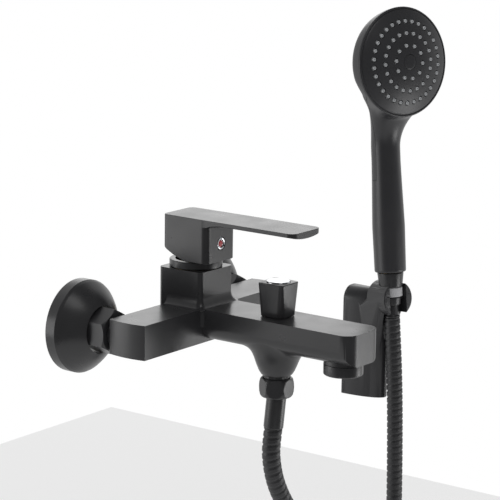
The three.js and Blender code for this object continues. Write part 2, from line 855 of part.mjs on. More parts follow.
function diverterKnob() {
  const low = roundedSquare(knobBottomHalf, knobBottomHalf, knobBottomCorner);
  const shrink = knobTopRound / 2;
  const high = roundedSquare(knobTopHalf, knobTopHalf, knobTopCorner);
  const lid = roundedSquare(knobTopHalf - shrink, knobTopHalf - shrink, knobTopCorner - shrink);
  const body = loft([ringAt(low, knobBottom), ringAt(high, knobTop - knobTopRound), ringAt(lid, knobTop)]);
  const web = spindleTop + gap;
  return cut(
    body,
    rod(diverterCoreRadius + gap, knobBottom - overrun, web, innerSides),
    rod(diverterScrewRadius + gap, web - overrun, web + knobWeb, smallSides),
    rod(diverterScrewHead + gap, web + knobWeb - gap / 2, knobTop, smallSides),
    rod(capRadius + gap, knobTop + capProud - capThickness - gap, knobTop + overrun, showSides),
  );
}

function diverter() {
  const group = new THREE.Group();
  group.position.set(0, -diverterAxis, 0);
  assembly.add(group);
  const bush = cut(
    rod(diverterBore - gap, diverterFloor + gap, armHalfHeight, innerSides),
    rod(diverterCoreRadius + gap, diverterFloor - overrun, armHalfHeight - diverterLip, innerSides),
    rod(spindleNeck + gap, armHalfHeight - diverterLip - overrun, armHalfHeight + overrun, innerSides),
    rodAlongY(mixedWayRadius - gap, -diverterBore - overrun, diverterBore + overrun, 0, 0, smallSides),
  );
  piece('diverter_bush', bush, 'brass', group);
  const collarBottom = armHalfHeight + gap;
  const collarTop = collarBottom + diverterCollarHeight;
  const collar = sleeve(diverterCollarRadius, spindleNeck + gap, collarBottom, collarTop);
  piece('diverter_collar', collar, 'rubber', group);
  const coreTop = armHalfHeight - diverterLip - gap;
  const spindle = cut(
    join(
      rod(diverterCoreRadius, diverterFloor + gap, coreTop, innerSides),
      rod(spindleNeck, coreTop - gap, spindleTop, innerSides),
      rod(diverterCoreRadius, knobBottom + gap, spindleTop, innerSides),
    ),
    rod(diverterScrewRadius + gap, spindleTop - diverterScrewLength, spindleTop + overrun, smallSides),
    rodAlongY(spindleNeck, -diverterBore, diverterBore, 0, 0, smallSides),
  );
  piece('diverter_spindle', spindle, 'brass', group);
  piece('diverter_knob', diverterKnob(), 'paint', group);
  const web = spindleTop + gap + knobWeb;
  const screw = join(
    rod(diverterScrewHead, web + gap, web + gap + diverterScrewHeadHeight, smallSides),
    rod(diverterScrewRadius, spindleTop - diverterScrewLength + gap, web + overrun, smallSides),
  );
  piece('diverter_screw', screw, 'steel', group);
  const capTop = knobTop + capProud;
  piece('diverter_cap', rod(capRadius, capTop - capThickness, capTop), 'chrome', group);
}

// Stack of the shower outlet, from the body down
const nippleEnd = outletBottom - gap - outletMaleLength;
const hoseWasherTop = nippleEnd - gap;
const ferruleTop = hoseWasherTop - hoseWasherThickness - gap;
const hoseNutTop = outletBottom - hoseNutGap;
const hoseNutBottom = hoseNutTop - hoseNutHeight;
const ferruleEnd = ferruleTop - ferruleLength;
const hoseLean = (z) => ferruleLean * Math.max(0, ferruleLeanStart - z);

function hoseFerrule() {
  const outline = [[hoseBore, ferruleEnd], [ferruleRadius, ferruleEnd], [ferruleRadius, ferruleLeanStart],
    [ferruleRadius, ferruleTop - ferruleFlange], [ferruleFlangeRadius, ferruleTop - ferruleFlange],
    [ferruleFlangeRadius, ferruleTop], [hoseBore, ferruleTop], [hoseBore, ferruleLeanStart],
    [hoseBore, ferruleEnd]];
  const geometry = turnedShape(outline, showSides);
  const place = geometry.attributes.position;
  for (let i = 0; i < place.count; i += 1) {
    const [x, y, z] = [place.getX(i), place.getY(i), place.getZ(i)];
    const lean = hoseLean(z);
    const square = lean > 0 ? ferruleLean * (x * ferruleLeanX + y * ferruleLeanY) : 0;
    place.setXYZ(i, x + lean * ferruleLeanX, y + lean * ferruleLeanY, z + square);
  }
  return solid(geometry);
}

function showerOutlet() {
  const group = new THREE.Group();
  group.position.set(0, -diverterAxis, 0);
  assembly.add(group);
  const nipple = cut(
    join(
      rod(outletThreadRadius, outletBottom - overrun, outletBottom + outletThreadLength, innerSides),
      rod(outletMaleRadius, nippleEnd, outletBottom - gap, innerSides),
    ),
    rod(outletNippleBore, nippleEnd - overrun, outletBottom + outletThreadLength + overrun, innerSides),
  );
  piece('outlet_nipple', nipple, 'brass', group);
  const washerBottom = hoseWasherTop - hoseWasherThickness;
  const washer = sleeve(ferruleFlangeRadius, hoseBore, washerBottom, hoseWasherTop, innerSides);
  piece('hose_washer_lower', washer, 'rubber', group);
  const chamfer = hoseNutHeight * hoseNutChamferShare;
  const nut = cut(
    hexNut(hoseNutFlats, hoseNutBottom, hoseNutTop, hoseNutEndRadius, hoseNutRadius, chamfer),
    rod(outletMaleRadius + gap, hoseNutBottom + hoseNutLip, hoseNutTop + overrun, innerSides),
    rod(ferruleRadius + gap, hoseNutBottom - overrun, hoseNutTop, innerSides),
  );
  piece('hose_nut', nut, 'paint', group);
  piece('hose_ferrule_lower', hoseFerrule(), 'paint', group);
}

// Aerator under the end of the spout
function aerator() {
  const group = new THREE.Group();
  group.position.set(0, -aeratorAxis, 0);
  assembly.add(group);
  const washerBottom = aeratorThreadTop - aeratorWasherThickness;
  const housingTop = washerBottom - gap;
  const insertTop = housingTop - gap;
  const housing = cut(
    join(
      rod(aeratorRadius, aeratorBottom, aeratorBoss - gap),
      rod(aeratorThreadRadius, aeratorBoss - overrun, housingTop, innerSides),
    ),
    rod(aeratorInsertRadius + gap, insertTop - aeratorInsertHeight - gap, housingTop + overrun, innerSides),
    rod(aeratorInsertRadius - aeratorWall, aeratorBottom - overrun, insertTop, innerSides),
  );
  piece('aerator_housing', housing, 'paint', group);
  const insertBottom = insertTop - aeratorInsertHeight;
  const ends = [insertBottom - overrun, insertTop + overrun];
  const cell = (x, y) => rod(aeratorCellRadius, ...ends, smallSides, x, y);
  const cells = [cell(0, 0)];
  for (let i = 0; i < aeratorCells; i += 1) {
    const angle = fullTurn * i / aeratorCells;
    cells.push(cell(aeratorCellPitch * Math.cos(angle), aeratorCellPitch * Math.sin(angle)));
  }
  const insert = cut(rod(aeratorInsertRadius, insertBottom, insertTop, innerSides), ...cells);
  piece('aerator_insert', insert, 'whitePlastic', group);
  const seat = aeratorInsertRadius - aeratorWall;
  const washer = sleeve(aeratorThreadRadius, seat, washerBottom, aeratorThreadTop, innerSides);
  piece('aerator_washer', washer, 'rubber', group);
}

// Frame of the hand shower: X across, -Y the way it faces, Z up its handle
const handGroup = new THREE.Group();
handGroup.rotation.set(-handLean, 0, -handTurn, 'ZYX');
handGroup.position.set(coneX, coneY, coneZ);
assembly.add(handGroup);
handGroup.updateMatrixWorld(true);

function fromHand(x, y, z) {
  return new THREE.Vector3(x, y, z).applyMatrix4(handGroup.matrixWorld);
}

// Routes of the hose: both free stretches by hand, the coil by its turns
const coilAcross = new THREE.Vector3(Math.cos(coilHeading), Math.sin(coilHeading), 0);
const coilAxis = new THREE.Vector3(Math.sin(coilHeading), -Math.cos(coilHeading), 0);
const straight = 2 * hoseRadius;

function coilRoute(steps) {
  const points = [];
  const total = Math.round(coilTurns * steps);
  for (let i = 0; i <= total; i += 1) {
    const angle = Math.PI + fullTurn * i / steps;
    const shift = coilPitch * coilTurns * (halfShare - i / total);
    const point = new THREE.Vector3(coilX, coilY, coilZ);
    point.addScaledVector(coilAcross, coilRadius * Math.cos(angle));
    point.addScaledVector(coilAxis, shift);
    point.z += coilRadius * Math.sin(angle);
    points.push(point);
  }
  const lift = new THREE.Vector3(0, 0, straight);
  points.unshift(points[0].clone().add(lift));
  points.push(points[points.length - 1].clone().add(lift));
  return points;
}

const coilPoints = coilRoute(coilSteps);
const hoseJoint = new THREE.Vector3(0, 0, gap);
const lowerStart = new THREE.Vector3(
  ferruleLeanX * hoseLean(ferruleEnd),
  ferruleLeanY * hoseLean(ferruleEnd) - diverterAxis,
  ferruleEnd,
);
const leanWay = new THREE.Vector3(ferruleLeanX * ferruleLean, ferruleLeanY * ferruleLean, -1).normalize();
const lowerRoute = [
  lowerStart.clone().addScaledVector(leanWay, gap),
  lowerStart.clone().addScaledVector(leanWay, straight),
  new THREE.Vector3(-1.6, -127.4, -94),
  new THREE.Vector3(1.6, -127.3, -108),
  new THREE.Vector3(7.2, -127.3, -121),
  new THREE.Vector3(18.5, -127.3, -138),
  new THREE.Vector3(35, -127.4, -156),
  new THREE.Vector3(57, -127.6, -176),
  new THREE.Vector3(80.5, -127.8, -198),
  new THREE.Vector3(104.5, -128, -221),
  new THREE.Vector3(127, -128.1, -245),
  new THREE.Vector3(144, -128.2, -270),
  new THREE.Vector3(154.5, -128.2, -294),
  coilPoints[0].clone().add(hoseJoint),
];
const upperRoute = [
  fromHand(0, 0, collarBottom - gap),
  fromHand(0, 0, collarBottom - straight),
  new THREE.Vector3(289.2, -47.4, -92),
  new THREE.Vector3(289.2, -49.2, -120),
  new THREE.Vector3(289.5, -50.6, -160),
  new THREE.Vector3(289.9, -51.6, -215),
  new THREE.Vector3(290, -52, -265),
  coilPoints[coilPoints.length - 1].clone().add(hoseJoint),
];

// Frames along a route that never twist
function routeFrames(points, count, firstWay, lastWay) {
  const curve = new THREE.CatmullRomCurve3(points, false, 'centripetal');
  const frames = [];
  let side = new THREE.Vector3(0, 1, 0);
  for (let i = 0; i <= count; i += 1) {
    const place = curve.getPointAt(i / count);
    let way = curve.getTangentAt(i / count);
    if (i === 0) {
      way = firstWay;
    }
    if (i === count) {
      way = lastWay;
    }
    side = side.clone().addScaledVector(way, -side.dot(way)).normalize();
    frames.push({ place, way, side, other: new THREE.Vector3().crossVectors(way, side) });
  }
  return frames;
}

function frameRing(frame, radius, count, along = 0) {
  const ring = [];
  for (let i = 0; i < count; i += 1) {
    const angle = fullTurn * i / count;
    const point = frame.place.clone().addScaledVector(frame.way, along);
    point.addScaledVector(frame.side, radius * Math.cos(angle));
    point.addScaledVector(frame.other, radius * Math.sin(angle));
    ring.push(point);
  }
  return ring;
}

// Ribbed hose with its bore; each rib is two rings and the bore has one ring every few ribs
function ribbedHose(route, lastWay) {
  const length = new THREE.CatmullRomCurve3(route, false, 'centripetal').getLength();
  const ribs = Math.round(length / hosePitch / boreRibs) * boreRibs;
  const firstWay = route[1].clone().sub(route[0]).normalize();
  const frames = routeFrames(route, ribs, firstWay, lastWay);
  const outer = [];
  const inner = [];
  const pitch = length / ribs;
  frames.forEach((frame, i) => {
    if (i === 0 || i === ribs) {
      outer.push(frameRing(frame, hoseRadius, ribPoints));
    } else {
      outer.push(frameRing(frame, hoseRadius - hoseGroove, ribPoints, -pitch * (1 - ribShare) / 2));
      outer.push(frameRing(frame, hoseRadius, ribPoints, pitch * (1 - ribShare) / 2));
    }
    if (i % boreRibs === 0) {
      inner.push(frameRing(frame, hoseBore, ribPoints));
    }
  });
  const rings = [...outer, ...inner.reverse()];
  const points = rings.flat();
  const triangles = [];
  for (let r = 0; r < rings.length; r += 1) {
    for (let i = 0; i < ribPoints; i += 1) {
      const j = (i + 1) % ribPoints;
      const next = (r + 1) % rings.length;
      const [a, b, c, d] = [r * ribPoints + i, r * ribPoints + j, next * ribPoints + i, next * ribPoints + j];
      triangles.push(a, b, c, b, d, c);
    }
  }
  const geometry = new THREE.BufferGeometry().setFromPoints(points);
  geometry.setIndex(triangles);
  return { shape: solid(geometry), length };
}

function hoseCoil() {
  const rings = [];
  let side = coilAxis.clone();
  coilPoints.forEach((place, i) => {
    const before = coilPoints[Math.max(i - 1, 0)];
    const after = coilPoints[Math.min(i + 1, coilPoints.length - 1)];
    const way = after.clone().sub(before).normalize();
    side = side.clone().addScaledVector(way, -side.dot(way)).normalize();
    const frame = { place, way, side, other: new THREE.Vector3().crossVectors(way, side) };
    rings.push(frameRing(frame, hoseRadius, coilSides));
  });
  return loft(rings);
}

// Least space between the skins of turns that are half a turn or more apart, measured on points
function coilGap() {
  const fine = coilRoute(coilSteps * 4).slice(1, -1);
  let least = Infinity;
  fine.forEach((a, i) => {
    for (let j = i + coilSteps * 2; j < fine.length; j += 1) {
      least = Math.min(least, a.distanceTo(fine[j]));
    }
  });
  return least - 2 * hoseRadius;
}

function routeLength(points) {
  return points.slice(1).reduce((sum, point, i) => sum + point.distanceTo(points[i]), 0);
}

// Strap round the passes at the foot of the coil
function hoseTie() {
  const halfAcross = coilPitch * coilTurns / 2 + hoseRadius / 2;
  const across = halfAcross + gap;
  const high = hoseRadius + 2 * gap;
  const inner = roundedSquare(across, high, tieCorner);
  const outer = roundedSquare(across + tieThickness, high + tieThickness, tieCorner + tieThickness);
  const shape = new THREE.Shape(outer);
  shape.holes.push(new THREE.Path(inner));
  const strap = new THREE.ExtrudeGeometry(shape, { depth: tieWidth, bevelEnabled: false });
  strap.translate(0, 0, -tieWidth / 2);
  const basis = new THREE.Matrix4().makeBasis(coilAxis, new THREE.Vector3(0, 0, 1), coilAcross);
  strap.applyMatrix4(basis);
  return solid(strap.translate(coilX, coilY, coilZ - coilRadius));
}

function hose() {
  const down = new THREE.Vector3(0, 0, -1);
  const lower = ribbedHose(lowerRoute, down);
  const upper = ribbedHose(upperRoute, down);
  piece('hose_lower', lower.shape, 'plastic');
  piece('hose_coil', hoseCoil(), 'plastic');
  piece('hose_tie', hoseTie(), 'rubber');
  piece('hose_upper', upper.shape, 'plastic');
  const coilLength = routeLength(coilRoute(coilSteps * 4));
  console.log('hose length, mm:', (lower.length + upper.length + coilLength).toFixed(1));
  console.log('least gap of the coil to itself, mm:', coilGap().toFixed(2));
}

// Cone nut of the hose with its swivel ring
function coneRadius(z) {
  return coneBottomRadius + (coneTopRadius - coneBottomRadius) * (z - coneBottom) / (coneTop - coneBottom);
}

function coneNut() {
  const collar = cut(
    join(
      rod(collarRadius, collarBottom, coneBottom - gap),
      rod(hoseRadius, collarBottom, collarBottom + collarFoot),
    ),
    rod(hoseBore, collarBottom - overrun, coneBottom + overrun, innerSides),
  );
  piece('hose_ferrule_upper', collar, 'paint', handGroup);
  const neckTopZ = ringTop + swivelWall;
  const seat = ringBottom - gap;
  const lower = cut(
    join(
      turned([[0, coneBottom], [coneBottomRadius, coneBottom], [coneRadius(seat), seat], [0, seat]]),
      rod(swivelRadius - swivelWall, seat, neckTopZ, innerSides),
    ),
    rod(coneBore, coneBottom - overrun, neckTopZ + overrun, innerSides),
  );
  piece('cone_nut_lower', lower, 'paint', handGroup);
  const ring = sleeve(swivelRadius, swivelRadius - swivelWall + gap, ringBottom, ringTop);
  piece('swivel_ring', ring, 'greyPlastic', handGroup);
  const foot = ringTop + gap;
  const upper = cut(
    turned([[0, foot], [coneRadius(foot), foot], [coneTopRadius, coneTop], [0, coneTop]]),
    rod(swivelRadius - swivelWall + gap, ringTop - overrun, neckTopZ + gap, innerSides),
    rod(coneThread + gap, coneTop - coneThreadDepth, coneTop + overrun, innerSides),
  );
  piece('cone_nut_upper', upper, 'paint', handGroup);
}

// Handle and neck as a loft up the handle
function gripRings(inset) {
  const rings = [];
  const section = (z, half, front, back) => {
    const ring = [];
    for (let i = 0; i < gripSides; i += 1) {
      const angle = fullTurn * i / gripSides;
      const middle = (back - front) / 2;
      const depth = (front + back) / 2 - inset;
      ring.push(new THREE.Vector3((half - inset) * Math.cos(angle), middle + depth * Math.sin(angle), z));
    }
    rings.push(ring);
  };
  const round = (z, radius) => section(z, radius, radius, radius);
  round(gripBottom, gripBottomRadius);
  gripShares.forEach(([heightShare, radiusShare]) => {
    round(gripWaist * heightShare, gripBottomRadius * radiusShare);
  });
  round(gripWaist, gripWaistRadius);
  for (let i = 1; i <= neckSteps; i += 1) {
    const share = i / neckSteps;
    const z = gripWaist + (neckTop - gripWaist) * share;
    const half = gripWaistRadius + (neckTopHalf - gripWaistRadius) * share ** neckHalfPower;
    const reach = Math.min(1, share / neckFrontShare);
    const front = gripWaistRadius + (neckTopFront - gripWaistRadius) * reach ** neckFrontPower;
    const back = gripWaistRadius + (neckTopBack - gripWaistRadius) * share ** neckBackPower;
    section(z, half, front, back);
  }
  section(neckEnd, neckEndHalf, neckEndFront, neckEndBack);
  return rings;
}

// Head of the hand shower, turned about its own axis and then faced forwards
function headShape(outline, sides = showSides) {
  const geometry = turnedShape(outline, sides).rotateX(quarterTurn);
  return solid(geometry.translate(0, 0, headHeight));
}

function headSolid() {
  const back = headFace - headWall;
  const outline = [[0, back - headBackDome]];
  for (let i = 1; i <= cornerSteps; i += 1) {
    const angle = quarterTurn * i / cornerSteps;
    outline.push([headRadius * Math.sin(angle), back - headBackDome * Math.cos(angle)]);
  }
  const rimInner = headRadius - rimThickness / 2;
  outline.push([headRadius, headFace - rimThickness], [rimInner, headFace], [0, headFace]);
  return headShape(outline);
}

// Everything behind the seam between the two shells of the hand shower
function behindSeam(shift) {
  const shape = new THREE.Shape();
  shape.moveTo(-headRadius, neckTop * seamShares[0][1] + shift);
  seamShares.forEach(([frontShare, heightShare]) => {
    shape.lineTo(headFace * frontShare - shift, neckTop * heightShare + shift);
  });
  shape.lineTo(-headRadius, neckTop * seamShares[seamShares.length - 1][1] + shift);
  const options = { depth: 4 * headRadius, bevelEnabled: false };
  const geometry = new THREE.ExtrudeGeometry(shape, options).translate(0, 0, -2 * headRadius);
  const basis = new THREE.Matrix4().makeBasis(
    new THREE.Vector3(0, -1, 0),
    new THREE.Vector3(0, 0, 1),
    new THREE.Vector3(-1, 0, 0),
  );
  return solid(geometry.applyMatrix4(basis));
}

const facePlateSeat = headFace - faceSkirt;
const chamberFace = headFace - headWall;

function handsetHollow() {
  const cavityBack = chamberFace - chamberThickness - gap;
  const cavityRadius = headRadius - 2 * headShellWall;
  const recessRadius = faceRadius + gap;
  const open = headFace + overrun;
  const low = gripBottom + connectorLength;
  const high = neckTop - headShellWall;
  const between = block(-headRadius, headRadius, -headRadius, headRadius, low, high);
  return [
    loft(gripRings(gripShellWall)).intersect(between),
    rod(connectorRadius + gap, gripBottom - overrun, low + overrun, innerSides),
    headShape([[0, cavityBack], [cavityRadius, cavityBack], [cavityRadius, facePlateSeat],
      [recessRadius, facePlateSeat], [recessRadius, open], [0, open]]),
  ];
}

function handsetShells() {
  const whole = join(loft(gripRings(0)), headSolid());
  const hollow = cut(whole, ...handsetHollow());
  piece('handset_grip_shell', hollow.subtract(behindSeam(0)), 'plastic', handGroup);
  piece('handset_back_shell', hollow.intersect(behindSeam(gap)), 'plastic', handGroup);
}

// Height of the face over its rim at a distance from its centre
function faceHeight(radius) {
  return faceRise * (1 - (radius / faceRadius) ** 2);
}

function faceOutline(lift, thickness, radius) {
  const outline = [];
  const steps = cornerSteps;
  for (let i = 0; i <= steps; i += 1) {
    const r = radius * i / steps;
    outline.push([r, headFace + lift + faceHeight(r)]);
  }
  for (let i = steps; i >= 0; i -= 1) {
    const r = radius * i / steps;
    outline.push([r, headFace + lift - thickness + faceHeight(r)]);
  }
  return outline;
}

function nozzles(radius, top) {
  const shapes = [];
  nozzleCounts.forEach((count, ring) => {
    const reach = faceRadius * nozzleRingShares[ring];
    const phase = THREE.MathUtils.degToRad(nozzlePhases[ring]);
    const height = headFace + faceHeight(reach);
    for (let i = 0; i < count; i += 1) {
      const angle = fullTurn * i / count + phase;
      const bottom = height - faceWall - matThickness;
      const outline = [[0, bottom], [radius, bottom], [radius, height + top], [0, height + top]];
      const geometry = turnedShape(outline, nozzleSides);
      geometry.translate(reach * Math.sin(angle), reach * Math.cos(angle), 0);
      geometry.rotateX(quarterTurn).translate(0, 0, headHeight);
      shapes.push(solid(geometry));
    }
  });
  return shapes;
}

function sprayHead() {
  const plate = headShape(faceOutline(0, faceWall, faceRadius));
  const skirtFoot = facePlateSeat + gap;
  const skirtBore = faceRadius - 2 * faceWall;
  const skirt = headShape([[skirtBore, skirtFoot], [faceRadius, skirtFoot],
    [faceRadius, headFace], [skirtBore, headFace], [skirtBore, skirtFoot]]);
  const holeRadius = capDiscRadius + gap;
  const holeTop = headFace + 2 * faceRise;
  const holeOutline = [[0, headFace], [holeRadius, headFace], [holeRadius, holeTop], [0, holeTop]];
  const capHole = headShape(holeOutline, innerSides);
  const face = cut(join(plate, skirt), capHole, ...nozzles(nozzleRadius + gap, overrun));
  piece('spray_face', face, 'plastic', handGroup);
  const mat = headShape(faceOutline(-faceWall - gap, matThickness, skirtBore - gap));
  piece('nozzle_mat', join(mat, ...nozzles(nozzleRadius, nozzleProud)), 'silicone', handGroup);
  const capTop = headFace + faceHeight(capDiscRadius);
  const capFoot = capTop - faceWall;
  const cap = [[0, capFoot], [capDiscRadius, capFoot], [capDiscRadius, capTop], [0, headFace + faceRise]];
  piece('spray_face_cap', headShape(cap, innerSides), 'plastic', handGroup);
  const chamberRadius = headRadius - 2 * headShellWall - gap;
  const chamberBore = chamberRadius - chamberThickness;
  const chamberBack = chamberFace - chamberThickness;
  const chamberRim = facePlateSeat - gap;
  const chamberFoot = chamberFace - gap;
  const floorOutline = [[0, chamberBack], [chamberRadius, chamberBack], [chamberRadius, chamberFace],
    [0, chamberFace]];
  const chamber = cut(
    join(
      headShape(floorOutline),
      headShape([[chamberBore, chamberFoot], [chamberRadius, chamberFoot], [chamberRadius, chamberRim],
        [chamberBore, chamberRim], [chamberBore, chamberFoot]]),
    ),
    rodAlongY(chamberHole, -headFace, 0, 0, waterTubeTop, innerSides),
  );
  piece('spray_chamber', chamber, 'whitePlastic', handGroup);
}

// Water tube up the handle, bent forward into the chamber
function waterTube() {
  const bottom = gripBottom + connectorLength + gap;
  const front = chamberFace - chamberThickness - gap;
  const points = [
    new THREE.Vector3(0, 0, bottom),
    ...waterTubeShares.map(([reach, height]) => new THREE.Vector3(0, -front * reach, waterTubeTop * height)),
    new THREE.Vector3(0, -front, waterTubeTop),
  ];
  const frames = routeFrames(points, tubeSteps, new THREE.Vector3(0, 0, 1), new THREE.Vector3(0, -1, 0));
  const skin = (radius) => loft(frames.map((frame) => frameRing(frame, radius, smallSides)));
  const bore = frames.map((frame) => frameRing(frame, waterTubeBore, smallSides));
  bore.unshift(bore[0].map((point) => point.clone().setZ(point.z - overrun)));
  bore.push(bore[bore.length - 1].map((point) => point.clone().setY(point.y - overrun)));
  return skin(waterTubeRadius).subtract(loft(bore));
}

function handsetInside() {
  piece('water_tube', waterTube(), 'whitePlastic', handGroup);
  const threadBottom = coneTop - connectorThread;
  const connectorTop = gripBottom + connectorLength;
  const connector = sleeve(connectorRadius, connectorBore, threadBottom, connectorTop, innerSides);
  piece('handset_connector', connector, 'brass', handGroup);
  const washerTop = threadBottom - gap;
  const washer = sleeve(coneThread, coneBore, coneTop - coneThreadDepth + gap, washerTop, innerSides);
  piece('cone_washer', washer, 'rubber', handGroup);
}

// Half oval column of the bracket, round at its top
function columnRing(z, shrink) {
  const points = [];
  for (let i = 0; i <= bracketSides; i += 1) {
    const angle = Math.PI * i / bracketSides;
    const x = bracketX - (bracketHalfWidth - shrink) * Math.cos(angle);
    points.push(new THREE.Vector3(x, -(bracketDepth - shrink) * Math.sin(angle), z));
  }
  return points;
}

function column() {
  const rings = [columnRing(bracketBottom, 0)];
  for (let i = 0; i <= cornerSteps; i += 1) {
    const angle = quarterTurn * i / cornerSteps;
    const shrink = bracketTopRound * (1 - Math.cos(angle));
    rings.push(columnRing(bracketTop - bracketTopRound * (1 - Math.sin(angle)), shrink));
  }
  return loft(rings);
}

function ellipsePoints(x, y, z, halfX, halfY) {
  const points = [];
  for (let i = 0; i < innerSides; i += 1) {
    const angle = fullTurn * i / innerSides;
    points.push(new THREE.Vector3(x + halfX * Math.cos(angle), y + halfY * Math.sin(angle), z));
  }
  return points;
}

function forkDisc() {
  const outline = [[0, -forkFront], [forkRadius, -forkFront], [forkRadius, forkBack], [0, forkBack]];
  const disc = turnedShape(outline, showSides).rotateX(-quarterTurn).translate(0, 0, forkHeight);
  return solid(disc.applyMatrix4(handGroup.matrixWorld));
}

function bracketArm() {
  const points = [];
  for (let i = 0; i < showSides; i += 1) {
    const angle = fullTurn * i / showSides;
    points.push(fromHand(forkRadius * Math.cos(angle), 0, forkHeight + forkRadius * Math.sin(angle)));
  }
  points.push(...ellipsePoints(bracketX, armRootY, armRootZ, armRootHalfWidth, armRootHalfDepth));
  points.push(...ellipsePoints(bracketX, armRootY, armFootZ, armFootHalfWidth, armFootHalfDepth));
  return solid(new ConvexGeometry(points));
}

function bracketBody() {
  const slotTop = forkHeight + 2 * forkRadius;
  const ringSeat = ringBottom - gap;
  const seatFoot = coneBottom - gap;
  const seat = turnedShape([[0, seatFoot], [coneRadius(coneBottom) + gap, seatFoot],
    [coneRadius(ringSeat) + gap, ringSeat], [swivelRadius + gap, ringSeat], [swivelRadius + gap, ringTop],
    [coneRadius(slotTop) + gap, slotTop], [0, slotTop]], showSides);
  const passOutline = [[0, -slotTop], [forkPassRadius, -slotTop], [forkPassRadius, slotTop], [0, slotTop]];
  const pass = turnedShape(passOutline, innerSides);
  const slot = new THREE.BoxGeometry(2 * forkSlotHalf, 2 * forkRadius, 2 * slotTop);
  slot.translate(0, -forkRadius, 0);
  const cuts = [seat, pass, slot].map((shape) => solid(shape.applyMatrix4(handGroup.matrixWorld)));
  const body = join(column(), forkDisc(), bracketArm());
  const hollowHalf = plateHalfWidth + gap;
  const hollowDepth = plateThickness + wallScrewHead + 2 * gap;
  const hollowLow = bracketBottom + plateMargin - gap;
  const hollowHigh = bracketTop - plateMargin + gap;
  const sides = [bracketX - hollowHalf, bracketX + hollowHalf];
  const hollow = block(...sides, -hollowDepth, overrun, hollowLow, hollowHigh);
  return cut(body, hollow, ...cuts);
}

function bracket() {
  piece('bracket_body', bracketBody(), 'plastic');
  const low = bracketBottom + plateMargin;
  const high = bracketTop - plateMargin;
  const screwHeights = [['lower', low + wallScrewInset], ['upper', high - wallScrewInset]];
  const holeFront = -plateThickness - overrun;
  const screwHole = (z) => rodAlongY(wallScrewRadius + gap, holeFront, overrun, bracketX, z, smallSides);
  const plate = cut(
    block(bracketX - plateHalfWidth, bracketX + plateHalfWidth, -plateThickness, 0, low, high),
    ...screwHeights.map(([, z]) => screwHole(z)),
  );
  piece('bracket_plate', plate, 'whitePlastic');
  screwHeights.forEach(([name, z]) => {
    const headBack = -plateThickness - gap;
    const screw = join(
      rodAlongY(wallScrewHeadRadius, headBack - wallScrewHead, headBack, bracketX, z, smallSides),
      rodAlongY(wallScrewRadius, headBack - gap, headBack + wallScrewLength, bracketX, z, smallSides),
    );
    piece(`bracket_screw_${name}`, screw, 'steel');
  });
}

inlets();
piece('body_casting', bodyCasting(), 'paint');
cartridge();
lever();
diverter();
showerOutlet();
aerator();
hose();
coneNut();
handsetShells();
sprayHead();
handsetInside();
bracket();

export default assembly;
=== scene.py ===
# Wall mounted bath mixer with its hand shower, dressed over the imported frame.
# Metres, +Z up, the wall is the plane Y = 0 and the mixer stands out towards -Y.
# Shapes are worked out in millimetres as (points, faces) and scaled when they become meshes.
import math

import bmesh
import bpy
import numpy as np
from mathutils import Matrix, Vector


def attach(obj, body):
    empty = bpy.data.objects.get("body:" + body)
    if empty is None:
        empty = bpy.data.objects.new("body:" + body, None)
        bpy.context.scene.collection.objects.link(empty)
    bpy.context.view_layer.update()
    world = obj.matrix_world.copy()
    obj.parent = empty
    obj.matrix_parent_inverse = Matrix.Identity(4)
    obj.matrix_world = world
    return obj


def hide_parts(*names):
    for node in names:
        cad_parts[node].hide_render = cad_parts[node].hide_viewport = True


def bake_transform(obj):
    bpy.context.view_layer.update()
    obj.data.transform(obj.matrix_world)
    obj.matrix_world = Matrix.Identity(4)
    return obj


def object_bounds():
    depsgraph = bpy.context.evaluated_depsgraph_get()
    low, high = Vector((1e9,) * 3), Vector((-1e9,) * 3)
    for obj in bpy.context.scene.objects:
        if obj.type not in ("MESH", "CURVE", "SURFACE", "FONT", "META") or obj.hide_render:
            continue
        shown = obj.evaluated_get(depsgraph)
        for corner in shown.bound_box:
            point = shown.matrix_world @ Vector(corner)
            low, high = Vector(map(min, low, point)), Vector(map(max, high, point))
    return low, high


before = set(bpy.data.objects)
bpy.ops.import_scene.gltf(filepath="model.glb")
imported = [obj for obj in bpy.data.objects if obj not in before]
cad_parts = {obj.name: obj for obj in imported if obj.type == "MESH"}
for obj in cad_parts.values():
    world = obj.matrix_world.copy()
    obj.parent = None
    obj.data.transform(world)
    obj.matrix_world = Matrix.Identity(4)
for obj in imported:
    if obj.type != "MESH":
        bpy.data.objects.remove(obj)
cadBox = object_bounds()
mm = 0.001
print("frame loaded:", len(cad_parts), "nodes")


class Values(dict):
    # a dictionary whose values are also read as attributes
    __getattr__ = dict.__getitem__


def addObject(name, data):
    thing = bpy.data.objects.new(name, data)
    bpy.context.collection.objects.link(thing)
    return thing


cameraPose = Values(
    azimuth=-53.64,      # degrees, 0 looks along +Y
    elevation=12.13,
    roll=0.87,
    lens=162.21,
    sensor=36,
    clip=(0.05, 50),
    right=84.21 * mm,    # how far the lens stands right of and above the origin
    above=43.29 * mm,
    away=1734.25 * mm,
)


def makeCamera(pose):
    # back is the direction from the object to the lens; right and up lie across it
    a, e, r = (math.radians(pose[k]) for k in ("azimuth", "elevation", "roll"))
    back = Vector((math.sin(a) * math.cos(e), -math.cos(a) * math.cos(e), math.sin(e)))
    level = Vector((math.cos(a), math.sin(a), 0))
    upright = back.cross(level)
    right = level * math.cos(r) + upright * math.sin(r)
    up = upright * math.cos(r) - level * math.sin(r)
    data = bpy.data.cameras.new("photoCamera")
    data.lens, data.sensor_width = pose.lens, pose.sensor
    data.clip_start, data.clip_end = pose.clip
    camera = addObject("photoCamera", data)
    place = right * pose.right + up * pose.above + back * pose.away
    camera.matrix_world = Matrix.Translation(place) @ Matrix((right, up, back)).transposed().to_4x4()
    bpy.context.scene.camera = camera


makeCamera(cameraPose)
print("camera placed")

# Mesh helpers

